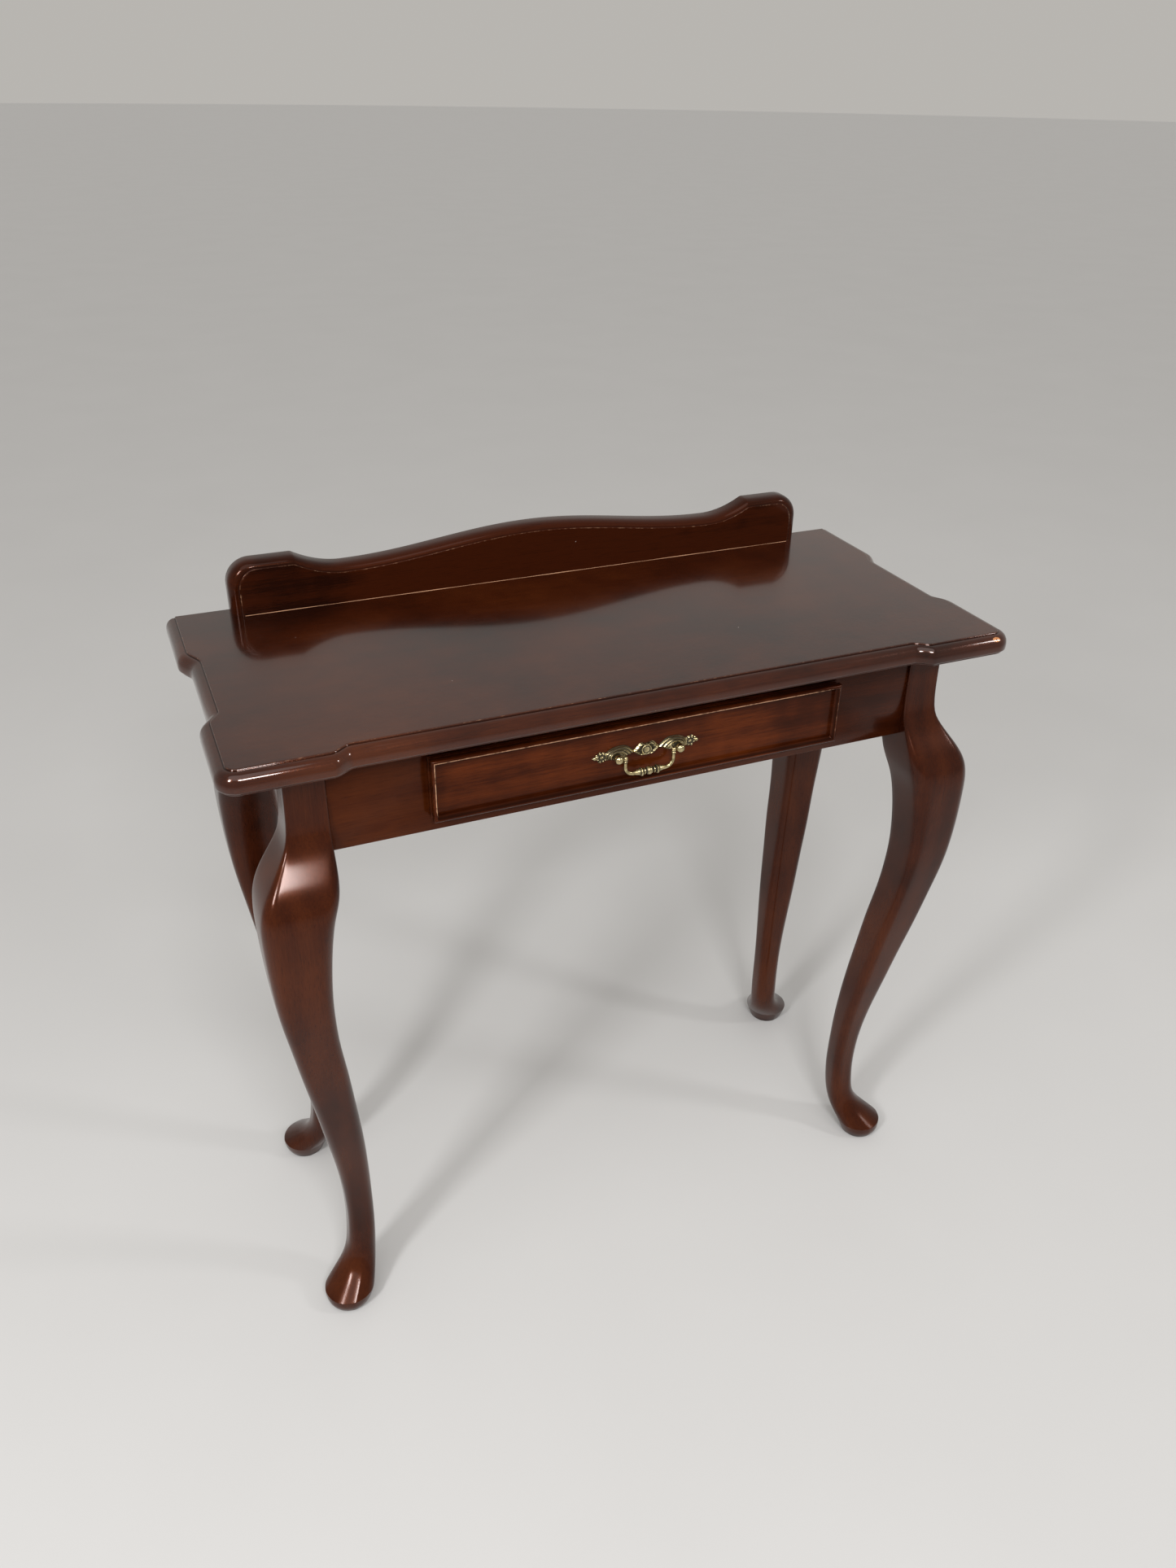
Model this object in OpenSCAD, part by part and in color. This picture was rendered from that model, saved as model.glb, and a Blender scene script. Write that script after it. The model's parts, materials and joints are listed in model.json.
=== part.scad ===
// Side table with one drawer, on four cabriole legs. Millimetres.
// X runs along the table to its right-hand end, the front faces -Y and Z is up.
// The origin is on the floor, under the middle of the top.

/* [Top] */
// Overall width of the top over its end lobes
top_w = 802; // [760:2:880]
// Overall depth of the top over its front lobes
top_d = 352; // [340:2:400]
// Height of the top's flat surface above the floor
top_h = 722; // [700:1:760]
// Thickness of the top
top_t = 21; // [18:1:26]
// Width of the thumb moulding round the ends and front
thumb_w = 10.5; // [8:0.5:12]
// How far the serpentine edge steps back between its lobes
bay = 10; // [4:1:14]
// Radius of the two front corners
corner_r = 20; // [14:1:28]

/* [Gallery] */
// Half the length of the gallery board
gallery_hw = 336; // [330:1:350]
// Thickness of the gallery board
gallery_t = 24.5; // [20:0.5:26]
// Height of the crest in the middle
crest_h = 59.5; // [54:0.5:70]
// Height of the flat lobes at the ends
lobe_h = 56; // [50:0.5:60]
// Height of the two low points
dip_h = 41; // [34:0.5:46]

/* [Frame] */
// Side of the square leg posts
post = 38; // [38:1:42]
// Distance from the middle to each post's centre line, across
post_x = 326; // [310:1:340]
// Height of the aprons' lower edge above the floor
apron_z = 603; // [596:1:606]
// Thickness of the front and rear aprons
front_t = 20; // [18:1:21]
// Thickness of the side aprons
apron_t = 18; // [15:1:18]
// How far the aprons stand back from the posts' faces
reveal = 3; // [2:0.5:5]

/* [Drawer] */
// Width of the drawer front over its lip
lip_w = 430; // [400:2:440]
// Height of the drawer front over its lip
lip_h = 65; // [62:1:68]
// How far the lip laps over the edge of the opening
lap = 8; // [6:0.5:9]
// Thickness of the drawer sides and back
side_t = 10; // [8:1:12]
// Length of the drawer box behind its front
box_l = 200; // [160:5:205]
// Thickness of the drawer bottom
bottom_t = 4; // [3:0.5:5]
// How far the drawer stands open
drawer_open = 0; // [0:5:150]

/* [Handle] */
// Distance between the handle's two posts
handle_pitch = 65; // [60:1:76]
// Drop of the bail below its pivots
bail_drop = 18; // [16:1:22]
// Diameter of the bail's pivot pins
pin_d = 2.6; // [2:0.2:3]
// How far the bail is lifted, in degrees
bail_lift = 0; // [-10:5:95]

/* [Hidden] */

mahogany = [0.33, 0.10, 0.05];
red_mahogany = [0.42, 0.14, 0.06];
pine = [0.80, 0.62, 0.40];
plywood = [0.74, 0.58, 0.40];
steel = [0.62, 0.62, 0.60];
brass = [0.62, 0.52, 0.28];

// Heights and planes that several pieces share
under_z = top_h - top_t;
back_y = top_d / 2;
front_post_y = 60 - back_y;
rear_post_y = back_y - 83;
half_post = post / 2;
apron_face_y = front_post_y - half_post + reveal;
apron_back_y = apron_face_y + front_t;
rear_face_y = rear_post_y + half_post - reveal;
rear_inner_y = rear_face_y - front_t;
side_face_x = post_x + half_post - reveal;
side_inner_x = side_face_x - apron_t;
inner_post_x = post_x - half_post;

// Drawer opening, drawer box and what it runs on
lip_mid_z = 651.5;
open_hw = lip_w / 2 - lap;
open_lo = lip_mid_z - lip_h / 2 + lap;
open_hi = lip_mid_z + lip_h / 2 - lap;
lip_gap = 0.3;
lip_t = 7.7;
face_y = apron_face_y - lip_gap - lip_t;
lip_back_y = apron_face_y - lip_gap;
inner_t = 12.3;
box_y0 = lip_back_y + inner_t;
box_y1 = box_y0 + box_l;
box_hw = open_hw - 2;
side_lo = open_lo + 0.3;
side_hi = open_hi - 2.5;
groove_z = open_lo + 7;
groove_d = 5;
back_hi = side_hi - 5;
tail_l = 9;
tails = 3;

// Screws
shank_d = 4;
head_d = 8;
head_h = 3;
head_hole_d = 9;

// Handle
handle_z = 651;
pivot_z = 650;
pivot_y = face_y - 10;
post_hx = handle_pitch / 2;
arm_x = post_hx - 7;
ball_r = 4.7;
arm_r = 1.9;
bow_r = 8.5;
pin_clear = 0.1;

function ease(t) = t <= 0 ? 0 : t >= 1 ? 1 : t * t * (3 - 2 * t);

// ---- Top ----
// How far the end's edge stands back at a distance v from the rear edge
function side_bay(v) = bay * (ease((v - 92) / 30) - ease((v - 230) / 22));
// How far the front's edge stands back at a distance x from the middle
function front_bay(x) = bay * (1 - ease((abs(x) - 285) / 20));
bends = [0, 92, 98, 104, 110, 116, 122, 230, 234, 238, 242, 246, 252];
waves = [305, 301, 297, 293, 289, 285];

function half_outline(inset) = let (hw = top_w / 2 - inset, f = top_d - inset, r = corner_r - inset)
  concat(
    [for (v = bends) [hw - side_bay(v), back_y - v]],
    [for (a = [0:15:90]) [hw - r + r * cos(a), back_y - f + r - r * sin(a)]],
    [for (x = waves) [x, back_y - f + front_bay(x)]]
  );
function mirrored(points) = [for (i = [len(points) - 1:-1:0]) [-points[i][0], points[i][1]]];
function outline(inset) = concat(half_outline(inset), mirrored(half_outline(inset)));

// The edge's profile from below upwards: tuck, nose, thumb and quirk, as height and inset
quirk_h = 1.5;
nose_z = 8;
thumb_steps = 4;
function thumb_inset(t) = (thumb_w - 1.5) * (1 - sqrt(1 - t * t));
thumb_h = top_t - quirk_h - nose_z;

module table_top() {
  color(mahogany) difference() {
    union() {
      translate([0, 0, under_z]) linear_extrude(3) polygon(outline(3));
      translate([0, 0, under_z + 3]) linear_extrude(nose_z - 3) polygon(outline(0));
      for (k = [0:thumb_steps - 1])
        translate([0, 0, under_z + nose_z + k * thumb_h / thumb_steps])
          linear_extrude(thumb_h / thumb_steps) polygon(outline(thumb_inset((k + 0.5) / thumb_steps)));
      translate([0, 0, top_h - quirk_h]) linear_extrude(quirk_h) polygon(outline(thumb_w));
    }
    for (s = gallery_steps)
      slab(s[2] - gallery_hw, gallery_hw - s[2], back_y - s[0] - s[1], back_y - s[0] + (s[0] == 0 ? 1 : 0),
           top_h - gallery_foot, top_h + 1);
    gallery_screw_places() screw_hole(6, top_t - 6);
    top_screw_places() translate([0, 0, under_z]) cylinder(h = screw_bite, d = shank_d, $fn = 32);
  }
}

// ---- Gallery ----
// How far its foot is let into the top
gallery_foot = 1;
end_r = 25;
cusp_x = 267;
dip_x = 215;
function crest_line(x) = abs(x) < dip_x ? dip_h + (crest_h - dip_h) * (1 + cos(180 * abs(x) / dip_x)) / 2
  : dip_h + (lobe_h - dip_h) * pow((abs(x) - dip_x) / (cusp_x - dip_x), 2);

function half_gallery(inset) = let (hw = gallery_hw - inset, r = end_r - inset / 2, h = lobe_h - inset)
  concat(
    [[hw, -gallery_foot]],
    [for (a = [0:15:90]) [hw - r + r * cos(a), h - r + r * sin(a)]],
    [for (x = [cusp_x + inset / 2:-8:dip_x]) [x, min(h, crest_line(x) - inset)]],
    [for (x = [dip_x:-20:10]) [x, crest_line(x) - inset]]
  );
function gallery_line(inset) = concat(half_gallery(inset), mirrored(half_gallery(inset)));
gallery_steps = [[0, 12, 0], [12, 5, 1.2], [17, 4, 3.5], [21, gallery_t - 21, 8]];

module gallery() {
  color(mahogany) difference() {
    for (s = gallery_steps)
      translate([0, back_y - s[0], top_h]) rotate([90, 0, 0]) linear_extrude(s[1]) polygon(gallery_line(s[2]));
    gallery_screw_places() screw_hole(6, gallery_screw_l);
  }
}

gallery_screw_l = 35;
module gallery_screw_places() {
  for (x = [-240, -80, 80, 240]) translate([x, back_y - 12, under_z]) children();
}

// A hole from below for one screw: room for its head, then its shank
module screw_hole(head_depth, shank_l) {
  translate([0, 0, -0.01]) cylinder(h = head_depth + 0.01, d = head_hole_d, $fn = 32);
  translate([0, 0, head_depth]) cylinder(h = shank_l, d = shank_d, $fn = 32);
}

// One screw pointing up, its head's upper face at z = 0
module screw(shank_l) {
  translate([0, 0, -head_h]) cylinder(h = head_h, d = head_d, $fn = 32);
  cylinder(h = shank_l, d = shank_d, $fn = 32);
}

module gallery_screws() {
  color(steel) gallery_screw_places() translate([0, 0, 6]) screw(gallery_screw_l);
}

// ---- Legs ----
// Each leg is sawn square from both faces. Stations from the floor up give the outer
// face, the inner face and the radius of the edges, measured from the post's centre line.
stations = [
  [0, 39.5, -4.5, 22], [3, 41.5, -6, 23.5], [9, 44.2, -8.5, 26], [18, 44.4, -11.7, 27.5],
  [28, 33, -15.4, 23.5], [40, 19.5, -18.8, 18.5], [55, 12, -20.8, 14.5], [80, 8, -22.1, 10],
  [110, 6.6, -23, 9.5], [150, 8.2, -22.8, 10.5], [200, 13.8, -21.2, 11], [250, 21.8, -17.8, 11],
  [300, 29.3, -12.8, 10], [350, 37.5, -7.7, 9], [400, 45, -1.8, 9], [450, 52.5, 0.2, 11],
  [500, 56.2, -3, 14], [545, 57.6, -10, 17], [570, 54, -17, 14], [595, 39, -19, 7],
  [615, 24.5, -19, 4], [632, 19, -19, 2.5], [under_z, 19, -19, 2.5]
];
corner_steps = 5;

// Value of column c at height z, on smooth curves through the stations
function slope(i, c) = i == 0 ? rise(0, 1, c) : i == len(stations) - 1 ? rise(i - 1, i, c)
  : rise(i - 1, i, c) * rise(i, i + 1, c) <= 0 ? 0
  : 2 / (1 / rise(i - 1, i, c) + 1 / rise(i, i + 1, c));
function rise(i, j, c) = (stations[j][c] - stations[i][c]) / (stations[j][0] - stations[i][0]);
function between(i, t, c) = let (h = stations[i + 1][0] - stations[i][0])
  stations[i][c] * (1 - ease(t)) + stations[i + 1][c] * ease(t)
  + h * t * (1 - t) * (slope(i, c) * (1 - t) - slope(i + 1, c) * t);

// One ring of the leg: a square from the inner to the outer faces with round corners
function ring(outer, inner, r, z) = let (rr = min(r, (outer - inner) / 2 - 0.3), m = (outer + inner) / 2,
                                         h = (outer - inner) / 2 - rr)
  [for (q = [0:3], k = [0:corner_steps]) let (a = 90 * q + 90 * k / corner_steps)
    [m + h * (q == 0 || q == 3 ? 1 : -1) + rr * cos(a), m + h * (q < 2 ? 1 : -1) + rr * sin(a), z]];
function station_rings(i) = let (n = stations[i + 1][0] - stations[i][0] > 20 && i < len(stations) - 2 ? 2 : 1)
  [for (k = [0:n - 1]) let (t = k / n)
    ring(between(i, t, 1), between(i, t, 2), between(i, t, 3),
         stations[i][0] + t * (stations[i + 1][0] - stations[i][0]))];
rings = concat([for (i = [0:len(stations) - 2]) each station_rings(i)],
               [ring(half_post, -half_post, stations[len(stations) - 1][3], under_z)]);
ring_n = 4 * (corner_steps + 1);

module leg() {
  n = len(rings);
  walls = [for (j = [0:n - 2], k = [0:ring_n - 1]) let (m = (k + 1) % ring_n, a = j * ring_n, b = a + ring_n)
    each [[a + k, b + k, b + m], [a + k, b + m, a + m]]];
  foot = [for (k = [0:ring_n - 1]) k];
  head = [for (k = [ring_n - 1:-1:0]) (n - 1) * ring_n + k];
  color(mahogany) polyhedron(points = [for (r = rings) each r], faces = concat(walls, [foot, head]));
}

module front_left_leg() {
  translate([-post_x, front_post_y, 0]) rotate([0, 0, 180]) leg();
}
module front_right_leg() {
  translate([post_x, front_post_y, 0]) rotate([0, 0, -90]) leg();
}
module rear_left_leg() {
  translate([-post_x, rear_post_y, 0]) rotate([0, 0, 90]) leg();
}
module rear_right_leg() {
  translate([post_x, rear_post_y, 0]) leg();
}

// ---- Aprons ----
// A block between two opposite corners
module slab(x0, x1, y0, y1, z0, z1) {
  translate([x0, y0, z0]) cube([x1 - x0, y1 - y0, z1 - z0]);
}

module front_apron() {
  color(red_mahogany) difference() {
    slab(-inner_post_x, inner_post_x, apron_face_y, apron_back_y, apron_z, under_z);
    slab(-open_hw, open_hw, apron_face_y - 1, apron_back_y + 1, open_lo, open_hi);
    block_screw_places() cylinder(h = block_bite, d = shank_d, $fn = 32);
  }
}
module rear_apron() {
  color(mahogany) difference() {
    slab(-inner_post_x, inner_post_x, rear_inner_y, rear_face_y, apron_z, under_z);
    block_screw_places() cylinder(h = block_bite, d = shank_d, $fn = 32);
  }
}
module side_apron() {
  difference() {
    slab(side_inner_x, side_face_x, front_post_y + half_post, rear_post_y - half_post, apron_z, under_z);
    block_screw_places() cylinder(h = block_bite, d = shank_d, $fn = 32);
  }
}
module right_apron() {
  color(mahogany) side_apron();
}
module left_apron() {
  color(mahogany) mirror([1, 0, 0]) side_apron();
}

// ---- Corner blocks ----
block_lo = 652;
block_flat = 14;
block_reach = 55;
block_bite = 12;

// Outline of a front right block: it fits round the post and bears on both aprons
function block_outline() = let (x0 = inner_post_x - block_reach, y0 = apron_back_y,
                                x1 = side_inner_x, y1 = front_post_y + half_post + block_reach)
  [[x0, y0], [inner_post_x, y0], [inner_post_x, front_post_y + half_post],
   [x1, front_post_y + half_post], [x1, y1], [x1 - block_flat, y1],
   [x1 - block_flat, y1 - 18], [x0 + 18, y0 + block_flat], [x0, y0 + block_flat]];

// Calls its children for the front right and the rear right corners
module at_right_corners() {
  children();
  translate([0, apron_back_y + rear_inner_y, 0]) mirror([0, 1, 0]) children();
}

block_screw_z = 672;
// The screw axes of all blocks, each from the block's back into its apron, with the
// apron's near face at z = 0
module block_screw_places() {
  for (s = [0, 1]) mirror([s, 0, 0]) at_right_corners() {
    translate([inner_post_x - block_reach + 9, apron_back_y, block_screw_z]) rotate([90, 0, 0]) children();
    translate([side_inner_x, front_post_y + half_post + block_reach - 9, block_screw_z])
      rotate([0, 90, 0]) children();
  }
}

module front_block() {
  difference() {
    translate([0, 0, block_lo]) linear_extrude(under_z - block_lo) polygon(block_outline());
    block_screw_places() translate([0, 0, -block_flat - 1]) cylinder(h = block_flat + 2, d = shank_d, $fn = 32);
    top_screw_places(true) screw_pocket();
  }
}
module front_right_block() {
  color(pine) front_block();
}
module front_left_block() {
  color(pine) mirror([1, 0, 0]) front_block();
}
module rear_right_block() {
  color(pine) translate([0, apron_back_y + rear_inner_y, 0]) mirror([0, 1, 0]) front_block();
}
module rear_left_block() {
  color(pine) mirror([1, 0, 0]) translate([0, apron_back_y + rear_inner_y, 0]) mirror([0, 1, 0]) front_block();
}
module block_screws() {
  color(steel) block_screw_places() translate([0, 0, -block_flat]) screw(block_flat + block_bite);
}

// ---- What the drawer runs on ----
runner_x0 = box_hw - 17;
runner_x1 = box_hw + 13;
module runner() {
  slab(runner_x0, runner_x1, apron_back_y, rear_inner_y, open_lo - 18, open_lo);
}
module right_runner() {
  color(pine) runner();
}
module left_runner() {
  color(pine) mirror([1, 0, 0]) runner();
}
module guide() {
  slab(box_hw + 1, runner_x1, apron_back_y, rear_inner_y, open_lo, open_lo + 20);
}
module right_guide() {
  color(pine) guide();
}
module left_guide() {
  color(pine) mirror([1, 0, 0]) guide();
}
kicker_lo = open_hi - 1;
module kicker() {
  difference() {
    slab(runner_x0, box_hw + 7, apron_back_y, rear_inner_y, kicker_lo, under_z);
    top_screw_places(false) screw_pocket();
  }
}
module right_kicker() {
  color(pine) kicker();
}
module left_kicker() {
  color(pine) mirror([1, 0, 0]) kicker();
}

// ---- Screws that hold the top down ----
screw_bite = 12;
screw_wood = 18;
kicker_screw_x = box_hw - 5;
block_screw_x = inner_post_x - 4;
block_screw_y = front_post_y + half_post + 12;

// The right-hand places in the blocks (true) or in the kicker (false), at floor level
module top_screw_places(in_block) {
  if (is_undef(in_block)) {
    for (s = [0, 1], b = [true, false]) mirror([s, 0, 0]) top_screw_places(b) children();
  } else if (in_block) {
    at_right_corners() translate([block_screw_x, block_screw_y, 0]) children();
  } else {
    for (y = [-70, 50]) translate([kicker_screw_x, y, 0]) children();
  }
}
// The shank's hole through the last of the wood, and the head's hole below it
module screw_pocket() {
  translate([0, 0, under_z - screw_wood - 0.01]) cylinder(h = screw_wood + 1, d = shank_d, $fn = 32);
  translate([0, 0, block_lo - 1]) cylinder(h = under_z - screw_wood - block_lo + 1, d = head_hole_d, $fn = 32);
}
module top_screws() {
  color(steel) top_screw_places() translate([0, 0, under_z - screw_wood]) screw(screw_wood + screw_bite);
}

// ---- Drawer ----
// A dovetail seen from the side: w0 wide at y0 and w1 wide at y1, as thick as a drawer side
module dovetail(y0, y1, z, w0, w1) {
  translate([box_hw, 0, 0]) rotate([0, -90, 0]) linear_extrude(side_t)
    polygon([[z - w0 / 2, y0], [z + w0 / 2, y0], [z + w1 / 2, y1], [z - w1 / 2, y1]]);
}
tail_pitch = (side_hi - side_lo) / tails;
module front_tails() {
  for (k = [0:tails - 1]) dovetail(box_y0, box_y0 - tail_l, side_lo + (k + 0.5) * tail_pitch, 8, 10.5);
}
pin_pitch = (back_hi - groove_z - bottom_t) / tails;
module back_pins() {
  for (k = [0:tails - 1])
    dovetail(box_y1 - side_t, box_y1, groove_z + bottom_t + (k + 0.5) * pin_pitch, 6, 3.6);
}

module in_drawer() {
  translate([0, -drawer_open, 0]) children();
}

edge_steps = [[0, 4, 0], [4, 2.4, 1.2], [6.4, lip_t - 6.4, 4]];
module drawer_front() {
  color(red_mahogany) in_drawer() difference() {
    union() {
      for (s = edge_steps)
        slab(-lip_w / 2 + s[2], lip_w / 2 - s[2], lip_back_y - s[0] - s[1], lip_back_y - s[0],
             lip_mid_z - lip_h / 2 + s[2], lip_mid_z + lip_h / 2 - s[2]);
      slab(-box_hw, box_hw, lip_back_y, box_y0, open_lo + 1, open_hi - 1);
    }
    for (s = [0, 1]) mirror([s, 0, 0]) front_tails();
    slab(side_t - box_hw, box_hw - side_t, box_y0 - groove_d, box_y0 + 1, groove_z, groove_z + bottom_t);
    handle_places() rotate([90, 0, 0]) cylinder(h = 60, d = shank_d, center = true, $fn = 32);
  }
}

module drawer_side() {
  difference() {
    union() {
      slab(box_hw - side_t, box_hw, box_y0, box_y1, side_lo, side_hi);
      front_tails();
    }
    slab(box_hw - side_t - 1, box_hw - side_t + groove_d, box_y0, box_y1 + 1, groove_z, groove_z + bottom_t);
    back_pins();
  }
}
module drawer_right_side() {
  color(pine) in_drawer() drawer_side();
}
module drawer_left_side() {
  color(pine) in_drawer() mirror([1, 0, 0]) drawer_side();
}
module drawer_back() {
  color(pine) in_drawer() difference() {
    union() {
      slab(side_t - box_hw, box_hw - side_t, box_y1 - side_t, box_y1, groove_z + bottom_t, back_hi);
      for (s = [0, 1]) mirror([s, 0, 0]) back_pins();
    }
    bottom_screw_places() cylinder(h = bottom_t + 12, d = 3, $fn = 32);
  }
}
module drawer_bottom() {
  reach = box_hw - side_t;
  color(plywood) in_drawer() difference() {
    union() {
      slab(-reach - groove_d, reach + groove_d, box_y0, box_y1, groove_z, groove_z + bottom_t);
      slab(-reach, reach, box_y0 - groove_d, box_y0, groove_z, groove_z + bottom_t);
    }
    bottom_screw_places() cylinder(h = bottom_t + 12, d = 3, $fn = 32);
  }
}
module bottom_screw_places() {
  for (x = [-120, 0, 120]) translate([x, box_y1 - side_t / 2, groove_z]) children();
}
module drawer_bottom_screws() {
  color(steel) in_drawer() bottom_screw_places() {
    cylinder(h = bottom_t + 12, d = 3, $fn = 32);
    translate([0, 0, -1.6]) cylinder(h = 1.6, d = 6, $fn = 32);
  }
}

// ---- Handle ----
plate_t = 1.8;
dome_t = 2.4;
nut_t = 3;
module handle_places() {
  for (s = [-1, 1]) translate([s * post_hx, face_y, pivot_z]) children();
}
// An oval standing on the plate's back, w long and h high
module oval(w, h, t) {
  rotate([90, 0, 0]) linear_extrude(t) polygon([for (a = [0:15:345]) [w / 2 * cos(a), h / 2 * sin(a)]]);
}
module handle_backplate() {
  color(brass) in_drawer() difference() {
    translate([0, face_y, handle_z]) {
      oval(28, 17, plate_t);
      rotate([90, 0, 0]) cylinder(h = plate_t + dome_t, d = 10, $fn = 48);
      for (s = [-1, 1]) translate([s * 28, 0, 0]) {
        oval(32, 17, plate_t);
        oval(26, 13, plate_t + dome_t);
      }
      for (s = [-1, 1]) translate([s * 48, 0, 0]) oval(16, 10, plate_t);
      rotate([90, 0, 0]) linear_extrude(plate_t) polygon([[-57, 0], [0, -3], [57, 0], [0, 3]]);
    }
    handle_places() rotate([90, 0, 0]) cylinder(h = 20, d = shank_d, center = true, $fn = 32);
  }
}

neck_r = 2.8;
pin_depth = 7.5;
module handle_post(s) {
  plate_y = face_y - plate_t - dome_t;
  color(brass) in_drawer() difference() {
    union() {
      translate([s * post_hx, box_y0 + nut_t + 1, pivot_z]) rotate([90, 0, 0])
        cylinder(h = box_y0 + nut_t + 1 - pivot_y, d = shank_d, $fn = 32);
      translate([s * post_hx, plate_y, pivot_z]) rotate([90, 0, 0])
        cylinder(h = plate_y - pivot_y, r = neck_r, $fn = 32);
      translate([s * post_hx, pivot_y, pivot_z]) sphere(r = ball_r, $fn = 48);
    }
    translate([s * (post_hx - ball_r - 1), pivot_y, pivot_z]) rotate([0, s * 90, 0])
      cylinder(h = pin_depth + 1, d = pin_d + pin_clear, $fn = 48);
  }
}
module left_handle_post() {
  handle_post(-1);
}
module right_handle_post() {
  handle_post(1);
}
module handle_nuts() {
  color(steel) in_drawer() translate([0, box_y0 - face_y, 0]) handle_places() rotate([-90, 0, 0]) difference() {
    cylinder(h = nut_t, d = 8, $fn = 6);
    translate([0, 0, -1]) cylinder(h = nut_t + 2, d = shank_d, $fn = 32);
  }
}

// The bail's bar, turned in one piece: its profile from the middle ball out to the bow, as
// distance from the middle and radius
bell_x0 = 7.4;
ball_bar_r = 4.2;
bar_end_x = arm_x - bow_r;
bar_profile = concat(
  [for (a = [90:-15:45]) [ball_bar_r * cos(a), ball_bar_r * sin(a)]],
  [[3.4, 2.2], [4.4, 2.2], [4.4, 3.4], [5.6, 3.4], [5.6, 2.6], [bell_x0, 2.6], [bell_x0, 4.4],
   [bell_x0 + 2, 4.4], [bell_x0 + 2, 3.6], [bar_end_x, arm_r]]
);
module bar() {
  rotate([0, 90, 0]) rotate_extrude($fn = 48) polygon(concat(
    [[0, bar_end_x], [0, -bar_end_x]],
    [for (i = [len(bar_profile) - 1:-1:0]) [bar_profile[i][1], -bar_profile[i][0]]],
    [for (i = [1:len(bar_profile) - 1]) [bar_profile[i][1], bar_profile[i][0]]]
  ));
}
// One arm of the bail: pin, eye, arm and bow
eye_r = 2.4;
module arm() {
  translate([arm_x - eye_r, 0, 0]) rotate([0, 90, 0])
    cylinder(h = post_hx - ball_r + pin_depth - 1 - arm_x + eye_r, d = pin_d, $fn = 48);
  translate([arm_x, 0, 0]) sphere(r = eye_r, $fn = 48);
  translate([arm_x, 0, bow_r - bail_drop]) cylinder(h = bail_drop - bow_r, r = arm_r, $fn = 48);
  translate([arm_x - bow_r, 0, bow_r - bail_drop]) rotate([-90, 0, 0])
    rotate_extrude(angle = 90, $fn = 48) translate([bow_r, 0]) circle(r = arm_r, $fn = 48);
}
module handle_bail() {
  color(brass) in_drawer() translate([0, pivot_y, pivot_z]) rotate([-bail_lift, 0, 0]) {
    for (s = [0, 1]) mirror([s, 0, 0]) arm();
    translate([0, 0, -bail_drop]) bar();
  }
}

table_top();
gallery();
gallery_screws();
front_left_leg();
front_right_leg();
rear_left_leg();
rear_right_leg();
front_apron();
rear_apron();
left_apron();
right_apron();
front_left_block();
front_right_block();
rear_left_block();
rear_right_block();
block_screws();
left_runner();
right_runner();
left_guide();
right_guide();
left_kicker();
right_kicker();
top_screws();
drawer_front();
drawer_left_side();
drawer_right_side();
drawer_back();
drawer_bottom();
drawer_bottom_screws();
handle_backplate();
left_handle_post();
right_handle_post();
handle_nuts();
handle_bail();
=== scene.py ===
import json
import math

import bmesh
import bpy
from bpy.props import FloatProperty, FloatVectorProperty, IntProperty, PointerProperty
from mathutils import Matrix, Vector


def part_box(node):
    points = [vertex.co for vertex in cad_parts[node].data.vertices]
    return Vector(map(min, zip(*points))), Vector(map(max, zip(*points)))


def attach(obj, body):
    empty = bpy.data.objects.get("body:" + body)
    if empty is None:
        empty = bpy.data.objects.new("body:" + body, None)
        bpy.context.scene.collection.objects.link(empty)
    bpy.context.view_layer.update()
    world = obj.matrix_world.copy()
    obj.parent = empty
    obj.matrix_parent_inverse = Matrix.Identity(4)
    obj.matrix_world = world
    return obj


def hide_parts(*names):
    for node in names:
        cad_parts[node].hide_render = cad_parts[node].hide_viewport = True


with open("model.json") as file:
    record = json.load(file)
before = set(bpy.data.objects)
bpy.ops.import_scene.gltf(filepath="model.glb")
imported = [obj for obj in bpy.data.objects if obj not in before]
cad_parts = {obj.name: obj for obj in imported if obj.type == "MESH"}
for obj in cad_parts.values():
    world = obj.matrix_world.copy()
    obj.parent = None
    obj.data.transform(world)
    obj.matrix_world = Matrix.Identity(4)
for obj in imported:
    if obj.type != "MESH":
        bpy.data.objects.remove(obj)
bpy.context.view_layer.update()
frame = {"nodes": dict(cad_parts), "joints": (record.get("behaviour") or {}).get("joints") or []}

bl_info = {
    "name": "Side Table with Drawer",
    "version": (1, 0, 0),
    "blender": (4, 5, 0),
    "location": "3D View > Sidebar > Side Table",
    "description": "Polished mahogany side table with a lipped drawer and a brass bail handle",
    "category": "Object",
}

MM = 0.001
SHARP_EDGE = math.radians(38)
SQUARE_EDGE = math.radians(50)
QUARTER = math.pi / 2
TURN = 2 * math.pi

# Boxes, planes and places that come from the frame
TOP_LO, TOP_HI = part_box("table_top")
GALLERY_LO, GALLERY_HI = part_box("gallery")
FRONT_LO, FRONT_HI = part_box("drawer_front")
SIDE_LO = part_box("drawer_right_side")[0]
PLATE_LO, PLATE_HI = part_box("handle_backplate")
POST_LO, POST_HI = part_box("right_handle_post")
BAIL_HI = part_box("handle_bail")[1]
JOINTS = {j["name"]: j for j in frame["joints"]}
PIVOT = Vector(JOINTS["handle_swing"]["pos_m"])
POST_X = (POST_LO.x + POST_HI.x) / 2
ARM_X = POST_X - 7 * MM
HANDLE_MID = (PLATE_LO.z + PLATE_HI.z) / 2


def ease(t):
    """Smooth step from 0 to 1."""
    t = min(max(t, 0.0), 1.0)
    return t * t * (3 - 2 * t)


def hill(t, at, wide):
    """Smooth hill of height 1 round at, which falls off over wide."""
    return math.exp(-(((t - at) / wide) ** 2))


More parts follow.
